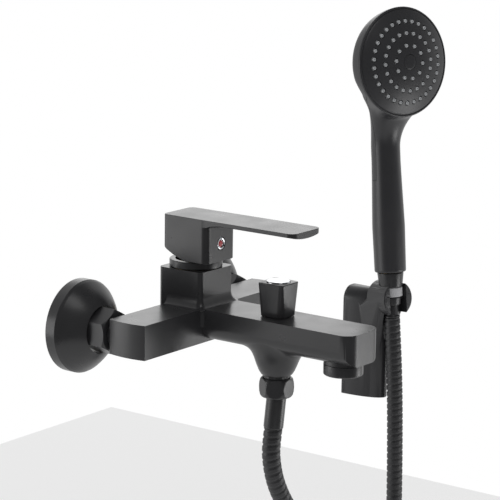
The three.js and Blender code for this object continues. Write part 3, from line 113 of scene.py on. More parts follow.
creaseAngle = 32    # degrees: sharper edges stay crisp
bevelAngle = 42     # degrees: sharper edges get rounded
outFromWall = Matrix.Rotation(math.pi / 2, 4, "X")  # turns a height into a distance from the wall


def around(count):
    return np.linspace(0, 2 * math.pi, count, endpoint=False)


def gridFaces(rows, cols, closeRows=False, closeCols=True):
    # quads between neighbouring rows and columns; a closed direction wraps round
    r = np.arange(rows if closeRows else rows - 1)
    c = np.arange(cols if closeCols else cols - 1)
    i, j = np.meshgrid(r, c, indexing="ij")
    i2, j2 = (i + 1) % rows, (j + 1) % cols
    return np.stack([i * cols + j, i * cols + j2, i2 * cols + j2, i2 * cols + j], -1).reshape(-1, 4)


def surface(grid, closeRows=False):
    # rings of points joined in turn; open ends are closed by a fan round their middle
    grid = np.asarray(grid, float)
    rows, cols = grid.shape[:2]
    points = grid.reshape(-1, 3)
    faces = [tuple(q) for q in gridFaces(rows, cols, closeRows).tolist()]
    if not closeRows:
        for row in (0, rows - 1):
            centre = len(points)
            points = np.vstack([points, grid[row].mean(0)])
            ring = [row * cols + k for k in range(cols)]
            faces += [(centre, a, b) for a, b in zip(ring, ring[1:] + ring[:1])]
    return points, faces


def stacked(rings):
    # rings of equal count joined upwards, with one face at each end
    rings = np.asarray(rings, float)
    rows, count = rings.shape[:2]
    faces = [tuple(f) for f in gridFaces(rows, count).tolist()]
    top = (rows - 1) * count
    return rings.reshape(-1, 3), faces + [tuple(range(count))[::-1], tuple(range(top, top + count))]


def together(*shapes):
    # several shapes as one
    points, faces, base = [], [], 0
    for p, f in shapes:
        points.append(p)
        faces += [tuple(int(k) + base for k in face) for face in f]
        base += len(p)
    return np.vstack(points), faces


def turn(profile, sides=96):
    # revolves a line of (radius, height) round Z; the radius gives x and y, the height z
    radius, height = np.split(np.asarray(profile, float), 2, 1)
    angle = around(sides)
    return np.stack([radius * np.cos(angle), radius * np.sin(angle), np.repeat(height, sides, 1)], -1)


def spun(profile, sides=96):
    # a turned solid; its line runs round a ring's section, or starts and ends on the axis
    return surface(turn(profile, sides), closeRows=profile[0][0] > 0)


def rounded(corners, steps=5):
    # corners are (x, y, cut): each is rounded by a parabola that starts and ends at cut from it
    line = []
    for k, (x, y, cut) in enumerate(corners):
        here = np.array([x, y])
        if cut <= 0 or k in (0, len(corners) - 1):
            line.append(here)
            continue
        before, after = (np.array(corners[n][:2]) - here for n in (k - 1, k + 1))
        first = here + before / np.linalg.norm(before) * cut
        last = here + after / np.linalg.norm(after) * cut
        t = np.linspace(0, 1, steps + 1)[:, None]
        line.extend((1 - t) ** 2 * first + 2 * t * (1 - t) * here + t ** 2 * last)
    return np.array(line)


def roundedRect(halfX, halfY, corner, steps=6):
    # outline of a rectangle with round corners, counted round from +X
    angle = np.concatenate([np.linspace(q, q + 1, steps + 1) for q in range(4)]) * math.pi / 2
    signX, signY = np.repeat([1, -1, -1, 1], steps + 1), np.repeat([1, 1, -1, -1], steps + 1)
    return np.stack([signX * (halfX - corner) + corner * np.cos(angle),
                     signY * (halfY - corner) + corner * np.sin(angle)], -1)


def atHeight(outline, z, x=0, y=0):
    return np.column_stack([outline[:, 0] + x, outline[:, 1] + y, np.full(len(outline), z)])


def extruded(outline, low, high):
    # a flat outline carried straight up
    return stacked([atHeight(outline, low), atHeight(outline, high)])


def box(lowX, highX, lowY, highY, low, high):
    return extruded(np.array([(lowX, lowY), (highX, lowY), (highX, highY), (lowX, highY)]), low, high)


def cylinder(radius, low, high, x=0, y=0, sides=64):
    return moved(stacked(turn([(radius, low), (radius, high)], sides)), Matrix.Translation((x, y, 0)))


def moved(shape, matrix):
    points, faces = shape
    full = np.column_stack([points, np.ones(len(points))]) @ np.array(matrix.to_4x4()).T
    return full[:, :3], faces


def scaled(shape):
    return shape[0] * mm, shape[1]


def placedAt(shape, x, y, z, matrix=Matrix.Identity(4)):
    # a shape turned by a matrix and put at a place, in metres
    return moved(scaled(moved(shape, matrix)), Matrix.Translation((x * mm, y * mm, z * mm)))


def reworked(mesh, change):
    # runs a change on the mesh, then turns its faces outwards
    work = bmesh.new()
    work.from_mesh(mesh)
    change(work)
    bmesh.ops.recalc_face_normals(work, faces=work.faces)
    work.to_mesh(mesh)
    work.free()
    return mesh


def shade(mesh, sharpAngle=creaseAngle):
    mesh.polygons.foreach_set("use_smooth", np.ones(len(mesh.polygons), bool))
    mesh.set_sharp_from_angle(angle=math.radians(sharpAngle))


def makeMesh(name, shape, sharpAngle=creaseAngle, weld=1e-6):
    # a closed shell in metres: doubles merged, edges sharper than the angle kept crisp
    def clean(work):
        bmesh.ops.remove_doubles(work, verts=work.verts, dist=weld)
        bmesh.ops.dissolve_degenerate(work, edges=work.edges, dist=weld)

    mesh = bpy.data.meshes.new(name)
    mesh.from_pydata(shape[0].tolist(), [], shape[1])
    shade(reworked(mesh, clean), sharpAngle)
    return addObject(name, mesh)


def cutter(shape):
    return makeMesh("cutter", scaled(shape))


def settle(thing, **layers):
    # applies the modifiers
    graph = bpy.context.evaluated_depsgraph_get()
    mesh = bpy.data.meshes.new_from_object(thing.evaluated_get(graph), **layers)
    thing.modifiers.clear()
    thing.data = mesh


def combine(thing, others, kind, solver="EXACT"):
    # joins to, cuts from or keeps the overlap with other meshes, which are then removed
    for other in others:
        step = thing.modifiers.new("step", "BOOLEAN")
        step.operation, step.solver, step.object = kind, solver, other
        settle(thing)
        bpy.data.objects.remove(other)


def evened(thing):
    # normals weighted by area, so that large flat faces shade flat
    step = thing.modifiers.new("even", "WEIGHTED_NORMAL")
    step.mode, step.weight, step.keep_sharp = "FACE_AREA", 100, True
    settle(thing, preserve_all_data_layers=True, depsgraph=bpy.context.evaluated_depsgraph_get())
    return thing


def soften(thing, width, segments=3):
    step = thing.modifiers.new("edges", "BEVEL")
    step.width, step.segments, step.limit_method = width, segments, "ANGLE"
    step.angle_limit = math.radians(bevelAngle)
    settle(thing)
    shade(thing.data)
    return evened(thing)


def dress(thing, body, finish, *nodes):
    # gives a finished piece its material, its body and the nodes that it stands for
    thing.data.materials.clear()
    thing.data.materials.append(look[finish])
    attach(thing, body)
    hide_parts(*nodes)
    return thing


# Finishes

noiseSpan = (0.3, 0.7)      # the middle of a noise, where most of its values lie


def fed(tree, node, inputs):
    # an input is a plain value or the output that feeds it
    for key, value in inputs.items():
        if isinstance(value, bpy.types.NodeSocket):
            tree.links.new(value, node.inputs[key])
        else:
            node.inputs[key].default_value = value
    return node


def newNode(tree, kind, inputs):
    return fed(tree, tree.nodes.new("ShaderNode" + kind), inputs)


def newMaterial(name, colour, roughness, metallic=0.0):
    material = bpy.data.materials.new(name)
    material.use_nodes = True
    tree = material.node_tree
    inputs = {"Base Color": (*colour, 1), "Roughness": roughness, "Metallic": metallic}
    return material, tree, fed(tree, tree.nodes["Principled BSDF"], inputs)


def grain(tree, size, detail):
    # noise on Object coordinates; size is the grain's length in metres
    place = newNode(tree, "TexCoord", {}).outputs["Object"]
    return newNode(tree, "TexNoise", {"Scale": 1 / size, "Detail": detail, "Vector": place}).outputs["Fac"]


def ranged(tree, value, low, high, fromLow=0.0, fromHigh=1.0):
    # a value stretched from one range to another
    ends = {"From Min": fromLow, "From Max": fromHigh, "To Min": low, "To Max": high}
    return newNode(tree, "MapRange", {**ends, "Value": value}).outputs["Result"]


def tint(tree, value, dark, light):
    ramp = newNode(tree, "ValToRGB", {"Fac": value})
    for element, position, colour in zip(ramp.color_ramp.elements, noiseSpan, (dark, light)):
        element.position, element.color = position, (*colour, 1)
    return ramp.outputs["Color"]


def bumped(tree, height, depth):
    return newNode(tree, "Bump", {"Distance": depth, "Strength": 1, "Height": height}).outputs["Normal"]


def coated(name, colour, roughness, specular, patch, size, wander, bump, roughWander=0.03):
    # matte coat: tiny orange-peel bumps, roughness and tone that wander a little
    material, tree, shader = newMaterial(name, colour, roughness)
    wide, fine = grain(tree, patch, 3), grain(tree, size, 2)
    dark, light = [c * (1 - wander) for c in colour], [c * (1 + wander) for c in colour]
    fed(tree, shader, {
        "Specular IOR Level": specular,
        "Base Color": tint(tree, wide, dark, light),
        "Roughness": ranged(tree, wide, roughness - roughWander, roughness + roughWander, *noiseSpan),
        "Normal": bumped(tree, fine, bump),
    })
    return material


def metal(name, colour, roughness, size, bump, streaks=(0.7, 1.4)):
    # bare or plated metal: faint streaks in its roughness
    material, tree, shader = newMaterial(name, colour, roughness, 1)
    fine = grain(tree, size, 3)
    rough = ranged(tree, fine, roughness * streaks[0], roughness * streaks[1], *noiseSpan)
    fed(tree, shader, {"Roughness": rough, "Normal": bumped(tree, fine, bump)})
    return material


coats = {       # colour, roughness, specular level, patch, grain, share by which the tone wanders, bump
    "paint": ((0.021, 0.021, 0.0225), 0.3, 0.5, 0.02, 0.0004, 0.08, 0.000012),
    "plastic": ((0.022, 0.022, 0.024), 0.36, 0.5, 0.025, 0.0005, 0.06, 0.000008),
    "shell": ((0.022, 0.022, 0.0245), 0.36, 0.5, 0.03, 0.0006, 0.06, 0.000008),
    "hose": ((0.016, 0.016, 0.018), 0.46, 0.5, 0.03, 0.0008, 0.1, 0.00001),
    "rubber": ((0.012, 0.012, 0.012), 0.7, 0.3, 0.01, 0.0005, 0.1, 0.00002),
    "greyPlastic": ((0.33, 0.33, 0.34), 0.4, 0.5, 0.01, 0.0006, 0.05, 0.000008),
    "whitePlastic": ((0.68, 0.68, 0.66), 0.45, 0.5, 0.02, 0.0006, 0.03, 0.000008),
    "silicone": ((0.36, 0.37, 0.38), 0.55, 0.4, 0.01, 0.0004, 0.05, 0.00001),
    "ceramic": ((0.8, 0.77, 0.7), 0.3, 0.5, 0.01, 0.0003, 0.03, 0.000004),
    "red": ((0.42, 0.012, 0.02), 0.35, 0.5, 0.005, 0.0004, 0.06, 0.000006),
}
metals = {      # colour, roughness, grain, bump
    "chrome": ((0.70, 0.71, 0.73), 0.07, 0.003, 0.000002),
    "brass": ((0.72, 0.53, 0.26), 0.28, 0.0015, 0.000006),
    "steel": ((0.56, 0.57, 0.58), 0.26, 0.001, 0.000005),
}
look = {name: coated(name, *values) for name, values in coats.items()}
look.update({name: metal(name, *values) for name, values in metals.items()})
print("finishes made:", len(look))

# Hose: one ribbed tube from the spout's outlet, through the tied coil, to the hand shower

hose = Values(
    radius=7 * mm, groove=0.85 * mm,
    pitch=5.6 * mm,      # from rib to rib
    ribSteps=7, sides=22, crease=50, weld=2e-6,
    dip=0.13, crown=0.14, endDepth=0.2,    # shares of the pitch and of the groove
    straight=14 * mm,    # leaves each end straight for one diameter
    pathEvery=4,         # which samples of the route make its path
    lean=(-0.593 * 0.082, 0.805 * 0.082, -1),
    start=(-0.0011, -0.1285, -0.0726),
    endZ=-14.8 * mm,     # in the hand shower's frame
    lower=[              # from the outlet to the coil
        (-0.0016, -0.1274, -0.094), (0.0016, -0.1273, -0.108), (0.0072, -0.1273, -0.121),
        (0.0185, -0.1273, -0.138), (0.035, -0.1274, -0.156), (0.057, -0.1276, -0.176),
        (0.0805, -0.1278, -0.198), (0.1045, -0.128, -0.221), (0.127, -0.1281, -0.245),
        (0.144, -0.1282, -0.27), (0.1545, -0.1282, -0.294),
    ],
    upper=[              # from the hand shower's cone down to the coil
        (0.2892, -0.0474, -0.092), (0.2892, -0.0492, -0.12), (0.2895, -0.0506, -0.16),
        (0.2899, -0.0516, -0.215), (0.29, -0.052, -0.265),
    ],
)
coil = Values(
    centre=(0.2238, -0.0901, -0.33), radius=74 * mm, pitch=15 * mm, turns=2.5,
    heading=0.274,       # radians from +X
    stepsPerTurn=24,
)
handPlace = Values(x=290.5 * mm, y=-42.5 * mm, z=-42 * mm, turn=18.2, lean=6.05)
handFrame = (
    Matrix.Translation((handPlace.x, handPlace.y, handPlace.z))
    @ Matrix.Rotation(-math.radians(handPlace.turn), 4, "Z")
    @ Matrix.Rotation(-math.radians(handPlace.lean), 4, "X")
)


def coilAxes(c):
    # the coil's plane runs along across and up; its passes step along the axis
    across = np.array([math.cos(c.heading), math.sin(c.heading), 0])
    return across, np.array([across[1], -across[0], 0])


def coilRoute(c):
    # turns in an upright plane that step sideways, going in at the left and out at the right
    total = round(c.turns * c.stepsPerTurn)
    share = np.linspace(0, 1, total + 1)[:, None]
    angle = math.pi + 2 * math.pi * c.turns * share
    across, axis = coilAxes(c)
    ring = c.radius * (np.cos(angle) * across + np.sin(angle) * np.array([0, 0, 1]))
    return np.array(c.centre) + ring + c.pitch * c.turns * (0.5 - share) * axis


def hoseRoute(h, c):
    lean = np.array(h.lean) / np.linalg.norm(h.lean)
    start = np.array(h.start)
    turns = coilRoute(c)
    lift = np.array([0, 0, h.straight])
    top = np.array((handFrame @ Vector((0, 0, h.endZ)))[:])
    topWay = np.array((handFrame.to_3x3() @ Vector((0, 0, 1)))[:])
    return np.array([
        start, start + lean * h.straight, *h.lower, turns[0] + lift, *turns,
        turns[-1] + lift, *h.upper[::-1], top - topWay * h.straight, top,
    ])


def smoothCurve(points, step=0.001, samples=24):
    # centripetal Catmull-Rom through the points, sampled evenly
    p = np.vstack([2 * points[0] - points[1], points, 2 * points[-1] - points[-2]])
    knot = np.concatenate([[0], np.cumsum(np.sqrt(np.linalg.norm(np.diff(p, axis=0), axis=1)))])

    def between(t, first, last, a, b):
        span = knot[last] - knot[first]
        return (knot[last] - t) / span * a + (t - knot[first]) / span * b

    out = []
    for k in range(1, len(p) - 2):
        t = np.linspace(knot[k], knot[k + 1], samples, endpoint=False)[:, None]
        a = [between(t, n - 1, n, p[n - 1], p[n]) for n in (k, k + 1, k + 2)]
        b = [between(t, n - 1, n + 1, a[n - k], a[n - k + 1]) for n in (k, k + 1)]
        out.append(between(t, k, k + 1, *b))
    line = np.vstack([*out, points[-1:]])
    travel = np.concatenate([[0], np.cumsum(np.linalg.norm(np.diff(line, axis=0), axis=1))])
    even = np.linspace(0, travel[-1], int(travel[-1] / step) + 1)
    return np.stack([np.interp(even, travel, line[:, k]) for k in range(3)], -1), even


def carriedFrames(line, side):
    # side vectors carried along a line without twist
    way = np.gradient(line, axis=0)
    way /= np.linalg.norm(way, axis=1)[:, None]
    sides = np.empty_like(line)
    side = np.asarray(side, float)
    for k, w in enumerate(way):
        side = side - w * side.dot(w)
        side = side / np.linalg.norm(side)
        sides[k] = side
    return sides, np.cross(way, sides)


def ribbedTube(route, h):
    # each point lies at a radius that dips once per pitch, on a ring sheared by one pitch per turn,
    # so that the grooves run round the hose as a screw thread
    line, travel = smoothCurve(route)
    end = travel[-1]
    ribs = round(end / h.pitch)
    row = np.arange((ribs + 1) * h.ribSteps + 1)
    angle = around(h.sides)
    along = (row[:, None] / h.ribSteps - 1 + angle / (2 * math.pi)) * (end / ribs)
    phase = (row / h.ribSteps) % 1
    dip = np.exp(-((phase - 0.5) / h.dip) ** 2) + h.crown * np.abs(2 * phase - 1) ** 3
    radius = (h.radius - h.groove * dip)[:, None] * np.ones_like(angle)
    radius = np.where((along <= 0) | (along >= end), h.radius - h.groove * h.endDepth, radius)
    along = np.clip(along, 0, end)
    centre, side, other = (np.stack([np.interp(along, travel, v[:, k]) for k in range(3)], -1)
                           for v in (line, *carriedFrames(line, (0, 1, 0))))
    grid = centre + radius[..., None] * (np.cos(angle)[:, None] * side + np.sin(angle)[:, None] * other)
    return grid, line[::h.pathEvery], end


def screwFaces(rows, cols, shift):
    # like gridFaces, but the last column meets the first one a whole pitch further on
    first = np.arange(rows - 1 - shift) * cols
    last, along = first + cols - 1, first + shift * cols
    seam = np.stack([last, along, along + cols, last + cols], -1)
    return np.vstack([gridFaces(rows, cols, closeCols=False), seam])


def makeHose(h):
    grid, path, length = ribbedTube(hoseRoute(h, coil), h)
    faces = screwFaces(*grid.shape[:2], h.ribSteps)
    shape = grid.reshape(-1, 3), [tuple(f) for f in faces.tolist()]
    thing = makeMesh("hose", shape, h.crease, h.weld)
    reworked(thing.data, lambda w: bmesh.ops.holes_fill(w, edges=[e for e in w.edges if e.is_boundary]))
    shade(thing.data, h.crease)
    thing.data.materials.append(look["hose"])
    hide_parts("hose_lower", "hose_coil", "hose_upper")
    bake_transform(thing)
    print("hose made:", round(length, 3), "m,", len(thing.data.polygons), "faces")
    return thing, path


hosePiece, hosePath = makeHose(hose)

# Turned and hexagonal fittings


def hexNut(n, steps=8):
    # at every height the lesser of the hexagon and a line of turned radii, then back down the bore
    angle = around(n.sides)
    radius, height = np.array(n.turned).T
    fine = [np.linspace(a, b, steps, endpoint=False) for a, b in zip(height, height[1:])]
    fine = np.concatenate([*fine, height[-1:]])
    flat = n.flats / 2 / np.cos((angle % (math.pi / 3)) - math.pi / 6)
    outside = np.minimum(np.interp(fine, height, radius)[:, None], flat[None, :])
    rows = np.stack([outside * np.cos(angle), outside * np.sin(angle), fine[:, None] + 0 * angle], -1)
    return surface(np.concatenate([rows, turn(n.bore, n.sides)]), closeRows=True)


def makeNut(name, n, x, y, matrix, node):
    nut = makeMesh(name, placedAt(hexNut(n), x, y, 0, matrix), n.crease)
    return dress(nut, "mixer", "paint", node)


def turnedPiece(name, line, y, body, finish, node, z=0, matrix=Matrix.Identity(4), sides=96):
    return dress(makeMesh(name, placedAt(spun(rounded(line), sides), 0, y, z, matrix)), body, finish, node)


outlet = Values(
    y=-130,
    nut=Values(
        flats=23, sides=96, crease=25,
        turned=[(11.2, -47.8), (12.2, -46.6), (12.9, -44), (13.1, -40.7), (12.9, -37.4),
                (12.2, -34.8), (11.2, -33.6)],
        bore=[(10.4, -33.6), (10.4, -45), (7.7, -45), (7.7, -47.8)],
    ),
    ferrule=[(4, -72.7, 0), (6.6, -72.7, 0.4), (7.4, -71.9, 0.5), (7.4, -60, 0), (7.4, -50, 0),
             (7.4, -44.7, 0), (9.6, -44.7, 0), (9.6, -42.7, 0), (4, -42.7, 0)],
    leanStart=-50, leanEnd=-72.7, lean=0.082, leanX=-0.593, leanY=0.805,
)


def leaningFerrule(o):
    # below its foot the sleeve leans in proportion to the depth, and its end stays square to the lean
    grid = turn(rounded(o.ferrule), 64)
    depth = np.maximum(0, o.leanStart - grid[..., 2])
    share = np.clip(depth / (o.leanStart - o.leanEnd), 0, 1)
    tilt = o.lean * (grid[..., 0] * o.leanX + grid[..., 1] * o.leanY) * share
    grid[..., 0] += depth * o.lean * o.leanX
    grid[..., 1] += depth * o.lean * o.leanY
    grid[..., 2] += tilt
    return surface(grid, closeRows=True)


hoseNut = makeNut("hoseNut", outlet.nut, 0, outlet.y, Matrix.Identity(4), "hose_nut")
lowerFerrule = makeMesh("lowerFerrule", placedAt(leaningFerrule(outlet), 0, outlet.y, 0))
dress(lowerFerrule, "mixer", "paint", "hose_ferrule_lower")

tie = Values(thick=1.6, wide=9, corner=7, across=22.55, high=7.6, edge=0.5, ease=0.015)


def strap(t, c):
    # a rounded ring round the passes at the foot of the coil, across its plane
    inner = roundedRect(t.across, t.high, t.corner)
    outer = roundedRect(t.across + t.thick, t.high + t.thick, t.corner + t.thick)
    eased = (outer * (1 - t.ease), inner * (1 + t.ease))
    half = t.wide / 2
    flat = half - t.edge
    rows = [(outer, -flat), (outer, flat), (eased[0], half), (eased[1], half),
            (inner, flat), (inner, -flat), (eased[1], -half), (eased[0], -half)]
    shape = surface(np.stack([atHeight(o, h) for o, h in rows]), closeRows=True)
    across, axis = (Vector(v) for v in coilAxes(c))
    basis = Matrix((axis, Vector((0, 0, 1)), across)).transposed().to_4x4()
    x, y, z = (v / mm for v in c.centre)
    return placedAt(shape, x, y, z - c.radius / mm, basis)


hoseTie = dress(makeMesh("hoseTie", strap(tie, coil)), "mixer", "rubber", "hose_tie")
print("outlet fittings made")

# Cone nut of the hose and its swivel ring, in the hand shower's frame

cone = Values(
    collar=[(3.9, -14.5, 0), (6.4, -14.5, 0.4), (7.0, -14.1, 0.4), (7.0, -13.2, 0.3), (6.4, -12.7, 0.3),
            (5.9, -12.2, 0.4), (5.9, -3.9, 0), (3.9, -3.9, 0)],
    lower=[(4.4, -3.6, 0), (7.4, -3.6, 0.4), (7.95, -3.0, 0.4), (8.7, 3.0, 0.4), (8.5, 3.6, 0.2),
           (7.4, 3.6, 0), (7.4, 14.2, 0), (4.4, 14.2, 0)],
    ring=[(7.7, 3.9, 0), (9.4, 3.9, 0.4), (9.8, 4.4, 0.4), (9.8, 11.3, 0.4), (9.4, 11.8, 0.3),
          (7.7, 11.8, 0)],
    upper=[(7.7, 12.1, 0), (9.6, 12.1, 0.3), (10.0, 12.6, 0.4), (11.4, 24.3, 0.5), (10.9, 25.0, 0.4),
           (10.2, 25.0, 0), (10.2, 16.0, 0), (7.7, 14.5, 0)],
)


def handPiece(name, shape):
    return makeMesh(name, moved(scaled(shape), handFrame))


def handCutter(shape):
    return handPiece("cutter", shape)


def turnedInHand(name, line, body, finish, node, sides=72):
    return dress(handPiece(name, spun(rounded(line), sides)), body, finish, node)


collar = turnedInHand("hoseCollar", cone.collar, "hose_end", "paint", "hose_ferrule_upper")
turnedInHand("coneNutLower", cone.lower, "hose_end", "paint", "cone_nut_lower")
turnedInHand("swivelRing", cone.ring, "hose_end", "greyPlastic", "swivel_ring")
turnedInHand("coneNutUpper", cone.upper, "handset", "paint", "cone_nut_upper")
print("hose ends made")

# Inlet flanges and nuts

inlet = Values(
    x=75, rim=8.9, edge=35, hole=17.9, height=25, bulge=0.38, ease=(-0.5, 0.1), crease=28,
    thick=1.8, domeThick=2.2, collar=(1.2, 4), nutTurn=30,
    nut=Values(
        flats=30, sides=120, crease=25,
        turned=[(15.2, 18.5), (17.3, 20.2), (17.5, 21), (17.5, 36), (17.3, 36.7), (15.2, 38.4)],
        bore=[(11.3, 38.4), (11.3, 35.4), (13.4, 35.4), (13.4, 18.5)],
    ),
)


def flangeLine(f):
    # out along the rim, in over the dome as a bulged slope to the nut's hole, and back underneath
    share = np.linspace(0, 1, 22)
    swell = share + f.bulge * share * (1 - share)
    dome = np.column_stack([f.edge + (f.hole - f.edge) * share, f.rim + (f.height - f.rim) * swell])
    dome[0] += f.ease
    under = dome[::-1] - (0, f.domeThick)
    back = f.edge - f.thick
    under[-1, 0] = back
    wall, foot = f.collar
    under[0, 0] += wall
    collar = [(f.hole, foot), (f.hole + wall, foot)]
    return np.vstack([[(f.edge, 0)], [(f.edge, f.rim + f.ease[0])], dome, collar, under, [(back, 0)]])


for side, sign in (("left", -1), ("right", 1)):
    flange = placedAt(spun(flangeLine(inlet), 128), sign * inlet.x, 0, 0, outFromWall)
    dress(makeMesh("wallFlange_" + side, flange, inlet.crease), "mixer", "paint", "wall_flange_" + side)
    nutWay = outFromWall @ Matrix.Rotation(math.radians(inlet.nutTurn), 4, "Z")
    makeNut("unionNut_" + side, inlet.nut, sign * inlet.x, 0, nutWay, "union_nut_" + side)
print("inlets made")

# Mixer body: cross arm, spout bar, tower, outlet bell and aerator boss in one casting

casting = Values(
    armHalf=87, armBulge=2, armBack=-42, armFront=-75, armHigh=13,
    spoutHalf=20, spoutReach=-208, spoutLow=-11, spoutCorner=11.5, spoutSunk=6, frontCorner=10,
    towerHalf=20, towerCorner=3.6, towerY=-53.5, towerTop=40,
    flare=5, flareHigh=8, flareDip=0.1, flareSunk=(2, 5), flareCorner=0.7, flareKept=(60, 1, 4),
    bellY=-130, bell=[(11.3, -31), (11.9, -30.4), (13.6, -27.6), (15.0, -24.2)], skirt=(19.4, 33),
    pull=(0.5, 0.42), rise=(0.36, 0.93), sink=0.12, skinStep=0.97, closing=(0.9, 0.9, 0), closingZ=(0, 2),
    bossY=-189, boss=(14.4, -12.6), cornerFillet=3, edge=0.9 * mm, past=1, cutHalf=30,
    holes=[      # radius, low, high, place
        (17.7, 5, 42, "towerY"), (18.4, 36.5, 42, "towerY"), (8.9, -33, -17.7, "bellY"),
        (8.4, -9, 15, "bellY"), (12.3, -15, -3.2, "bossY"),
    ],
    inletHole=(11.3, 40, 54.3),
    ring=[(18.8, 40.3, 0), (19.6, 40.3, 0.3), (20.0, 40.8, 0.3), (20.0, 45.4, 0.4), (19.5, 45.9, 0.3),
          (15.6, 45.9, 0.2), (15.6, 45.2, 0), (18.8, 45.2, 0)],
)


def castingArm(c):
    share = np.linspace(0, 1, 17)
    y = c.armBack + (c.armFront - c.armBack) * share
    x = c.armHalf + 4 * c.armBulge * share * (1 - share)
    plan = np.vstack([np.column_stack([-x, y]), np.column_stack([x, y])[::-1]])
    return extruded(plan, -c.armHigh, c.armHigh)


def castingSpout(c):
    # flat-topped bar with round lower corners, carried out from the wall, and the plan that rounds its front
    low, inner = c.spoutLow + c.spoutCorner, c.spoutHalf - c.spoutCorner
    angle = np.radians(np.linspace(180, 360, 25))
    arc = np.column_stack([np.where(angle < 1.5 * math.pi, -inner, inner), np.full(len(angle), low)])
    arc += c.spoutCorner * np.column_stack([np.cos(angle), np.sin(angle)])
    section = np.vstack([[(-c.spoutHalf, c.armHigh)], arc, [(c.spoutHalf, c.armHigh)]])
    bar = moved(extruded(section, -c.armBack + c.spoutSunk, -c.spoutReach), outFromWall)
    return bar, extruded(roundedRect(c.spoutHalf, -c.spoutReach, c.frontCorner, 10), -c.cutHalf, c.cutHalf)


def castingTower(c):
    # a square column, and square rings that flare out as a quarter ellipse round its foot
    angle = np.linspace(0, math.pi / 2, 10)
    flare, rise = c.flare * (1 - np.sin(angle)), c.flareHigh * (1 - np.cos(angle)) + c.armHigh - c.flareDip
    half, corner, y = c.towerHalf, c.towerCorner, c.towerY
    rings = [atHeight(roundedRect(half + f, half + f, corner + f * c.flareCorner), r, 0, y)
             for f, r in zip(flare, rise)]
    inward, depth = c.flareSunk
    sunk = roundedRect(half - inward, half - inward, corner)
    plain = roundedRect(half, half, corner) + (0, y)
    return extruded(plain, 0, c.towerTop), stacked([atHeight(sunk, depth, 0, y), *rings])


def castingBell(c):
    # at each angle a cubic curve runs from the skin of the bar down onto the cone of the outlet
    angle = around(120)
    across, along = np.cos(angle), np.sin(angle)
    corner, inner = c.spoutCorner, c.spoutHalf - c.spoutCorner

    def skin(share):
        x, y = c.skirt[0] * share * across, c.skirt[1] * share * along
        over = np.maximum(np.abs(x) - inner, 0)
        return np.column_stack([x, y, c.spoutLow + corner - np.sqrt(corner ** 2 - over ** 2)])

    def ring(radius, height):
        return np.column_stack([radius * across, radius * along, np.full(len(angle), height)])

    top, foot = skin(1), ring(*c.bell[-1])
    inward = skin(c.skinStep) - top
    inward /= np.linalg.norm(inward, axis=1)[:, None]
    length = np.linalg.norm(top - foot, axis=1)[:, None]
    rise = ring(c.rise[0], 0) + (0, 0, c.rise[1])
    first, second = top + inward * length * c.pull[0], foot + rise * length * c.pull[1]
    t = np.linspace(0, 1, 26)[:, None, None]
    curve = (1 - t) ** 3 * foot + 3 * t * (1 - t) ** 2 * second + 3 * t ** 2 * (1 - t) * first + t ** 3 * top
    curve[:, :, 2] += c.sink * t[:, :, 0] ** 4
    closing = [top * c.closing + (0, 0, z) for z in c.closingZ]
    rings = [ring(r, z) for r, z in c.bell[:-1]] + list(curve) + closing
    return moved(stacked(rings), Matrix.Translation((0, c.bellY, 0)))


def innerCorner(c, sign):
    # concave corner between the arm's front and the spout's side
    r, half, front, past = c.cornerFillet, c.spoutHalf, c.armFront, c.past
    angle = np.radians(np.linspace(180, 90, 8))
    arc = np.column_stack([half + r + r * np.cos(angle), front - r + r * np.sin(angle)])
    inside, behind = half - past, front + past
    outline = np.vstack([arc, [(half + r, behind)], [(inside, behind)], [(inside, front - r)]])
    outline[:, 0] *= sign
    return extruded(outline, c.spoutLow + c.spoutCorner - past, c.armHigh)


def makeCasting(c):
    body = makeMesh("mixerBody", scaled(castingArm(c)))
    bar, plan = (cutter(s) for s in castingSpout(c))
    combine(bar, [plan], "INTERSECT")
    tower, foot = (cutter(s) for s in castingTower(c))
    wide, corner, depth = c.flareKept
    kept = roundedRect(wide, -c.armFront, corner) + (0, c.armBack + c.armFront)
    combine(foot, [cutter(extruded(kept, c.armHigh - depth, c.towerTop))], "INTERSECT")
    parts = [bar, tower, foot, *(cutter(innerCorner(c, s)) for s in (-1, 1)), cutter(castingBell(c)),
             cutter(cylinder(*c.boss, 0, 0, c.bossY))]
    combine(body, parts, "UNION")
    holes = [cylinder(radius, low, high, 0, c[place]) for radius, low, high, place in c.holes]
    holes += [moved(cylinder(*c.inletHole), Matrix.Translation((s * inlet.x, 0, 0)) @ outFromWall)
              for s in (-1, 1)]
    combine(body, [cutter(h) for h in holes], "DIFFERENCE")
    return dress(soften(body, c.edge), "mixer", "paint", "body_casting")


makeCasting(casting)
turnedPiece("coverRing", casting.ring, casting.towerY, "mixer", "paint", "cover_ring")
print("mixer body made")

# Lever: block with a thin blade, its plug and dot

lever = Values(
    half=18, back=-34.9, top=80, tip=-155.4, front=-77, low=46.3,
    slope=[(-56, 46.3), (-45.2, 50.3), (-34.9, 55.7)], past=(3, 5), sunk=2, cutHalf=30, cutZ=(40, 90),
    rootY=[-60, -76, -78, -80, -82.5, -85.5, -89], rootThick=[8, 8, 7.2, 6.5, 6.0, 5.5, 5.2],
    edgeThick=3, midThick=5.2, tipCorner=6, blockCorner=5, edge=0.55 * mm, hair=0.015,
    plugZ=60, plugHole=5.1, plugDepth=2.9,
    plug=[(0, 74.4, 0), (4.8, 74.4, 0), (4.8, 76.5, 0.4), (4.2, 77.2, 0.5), (3.2, 77.0, 0.3), (2.7, 76.1, 0),
          (0, 76.1, 0)],
    dot=[(0, 76.2, 0), (2.4, 76.2, 0), (2.4, 76.5, 0.2), (1.9, 76.8, 0.3), (0, 76.9, 0)],
    slots=3, slotHalf=(0.55, 2.2), slotCorner=0.3, slotAt=4.2, slotFrom=75.9, slotTo=78,
)


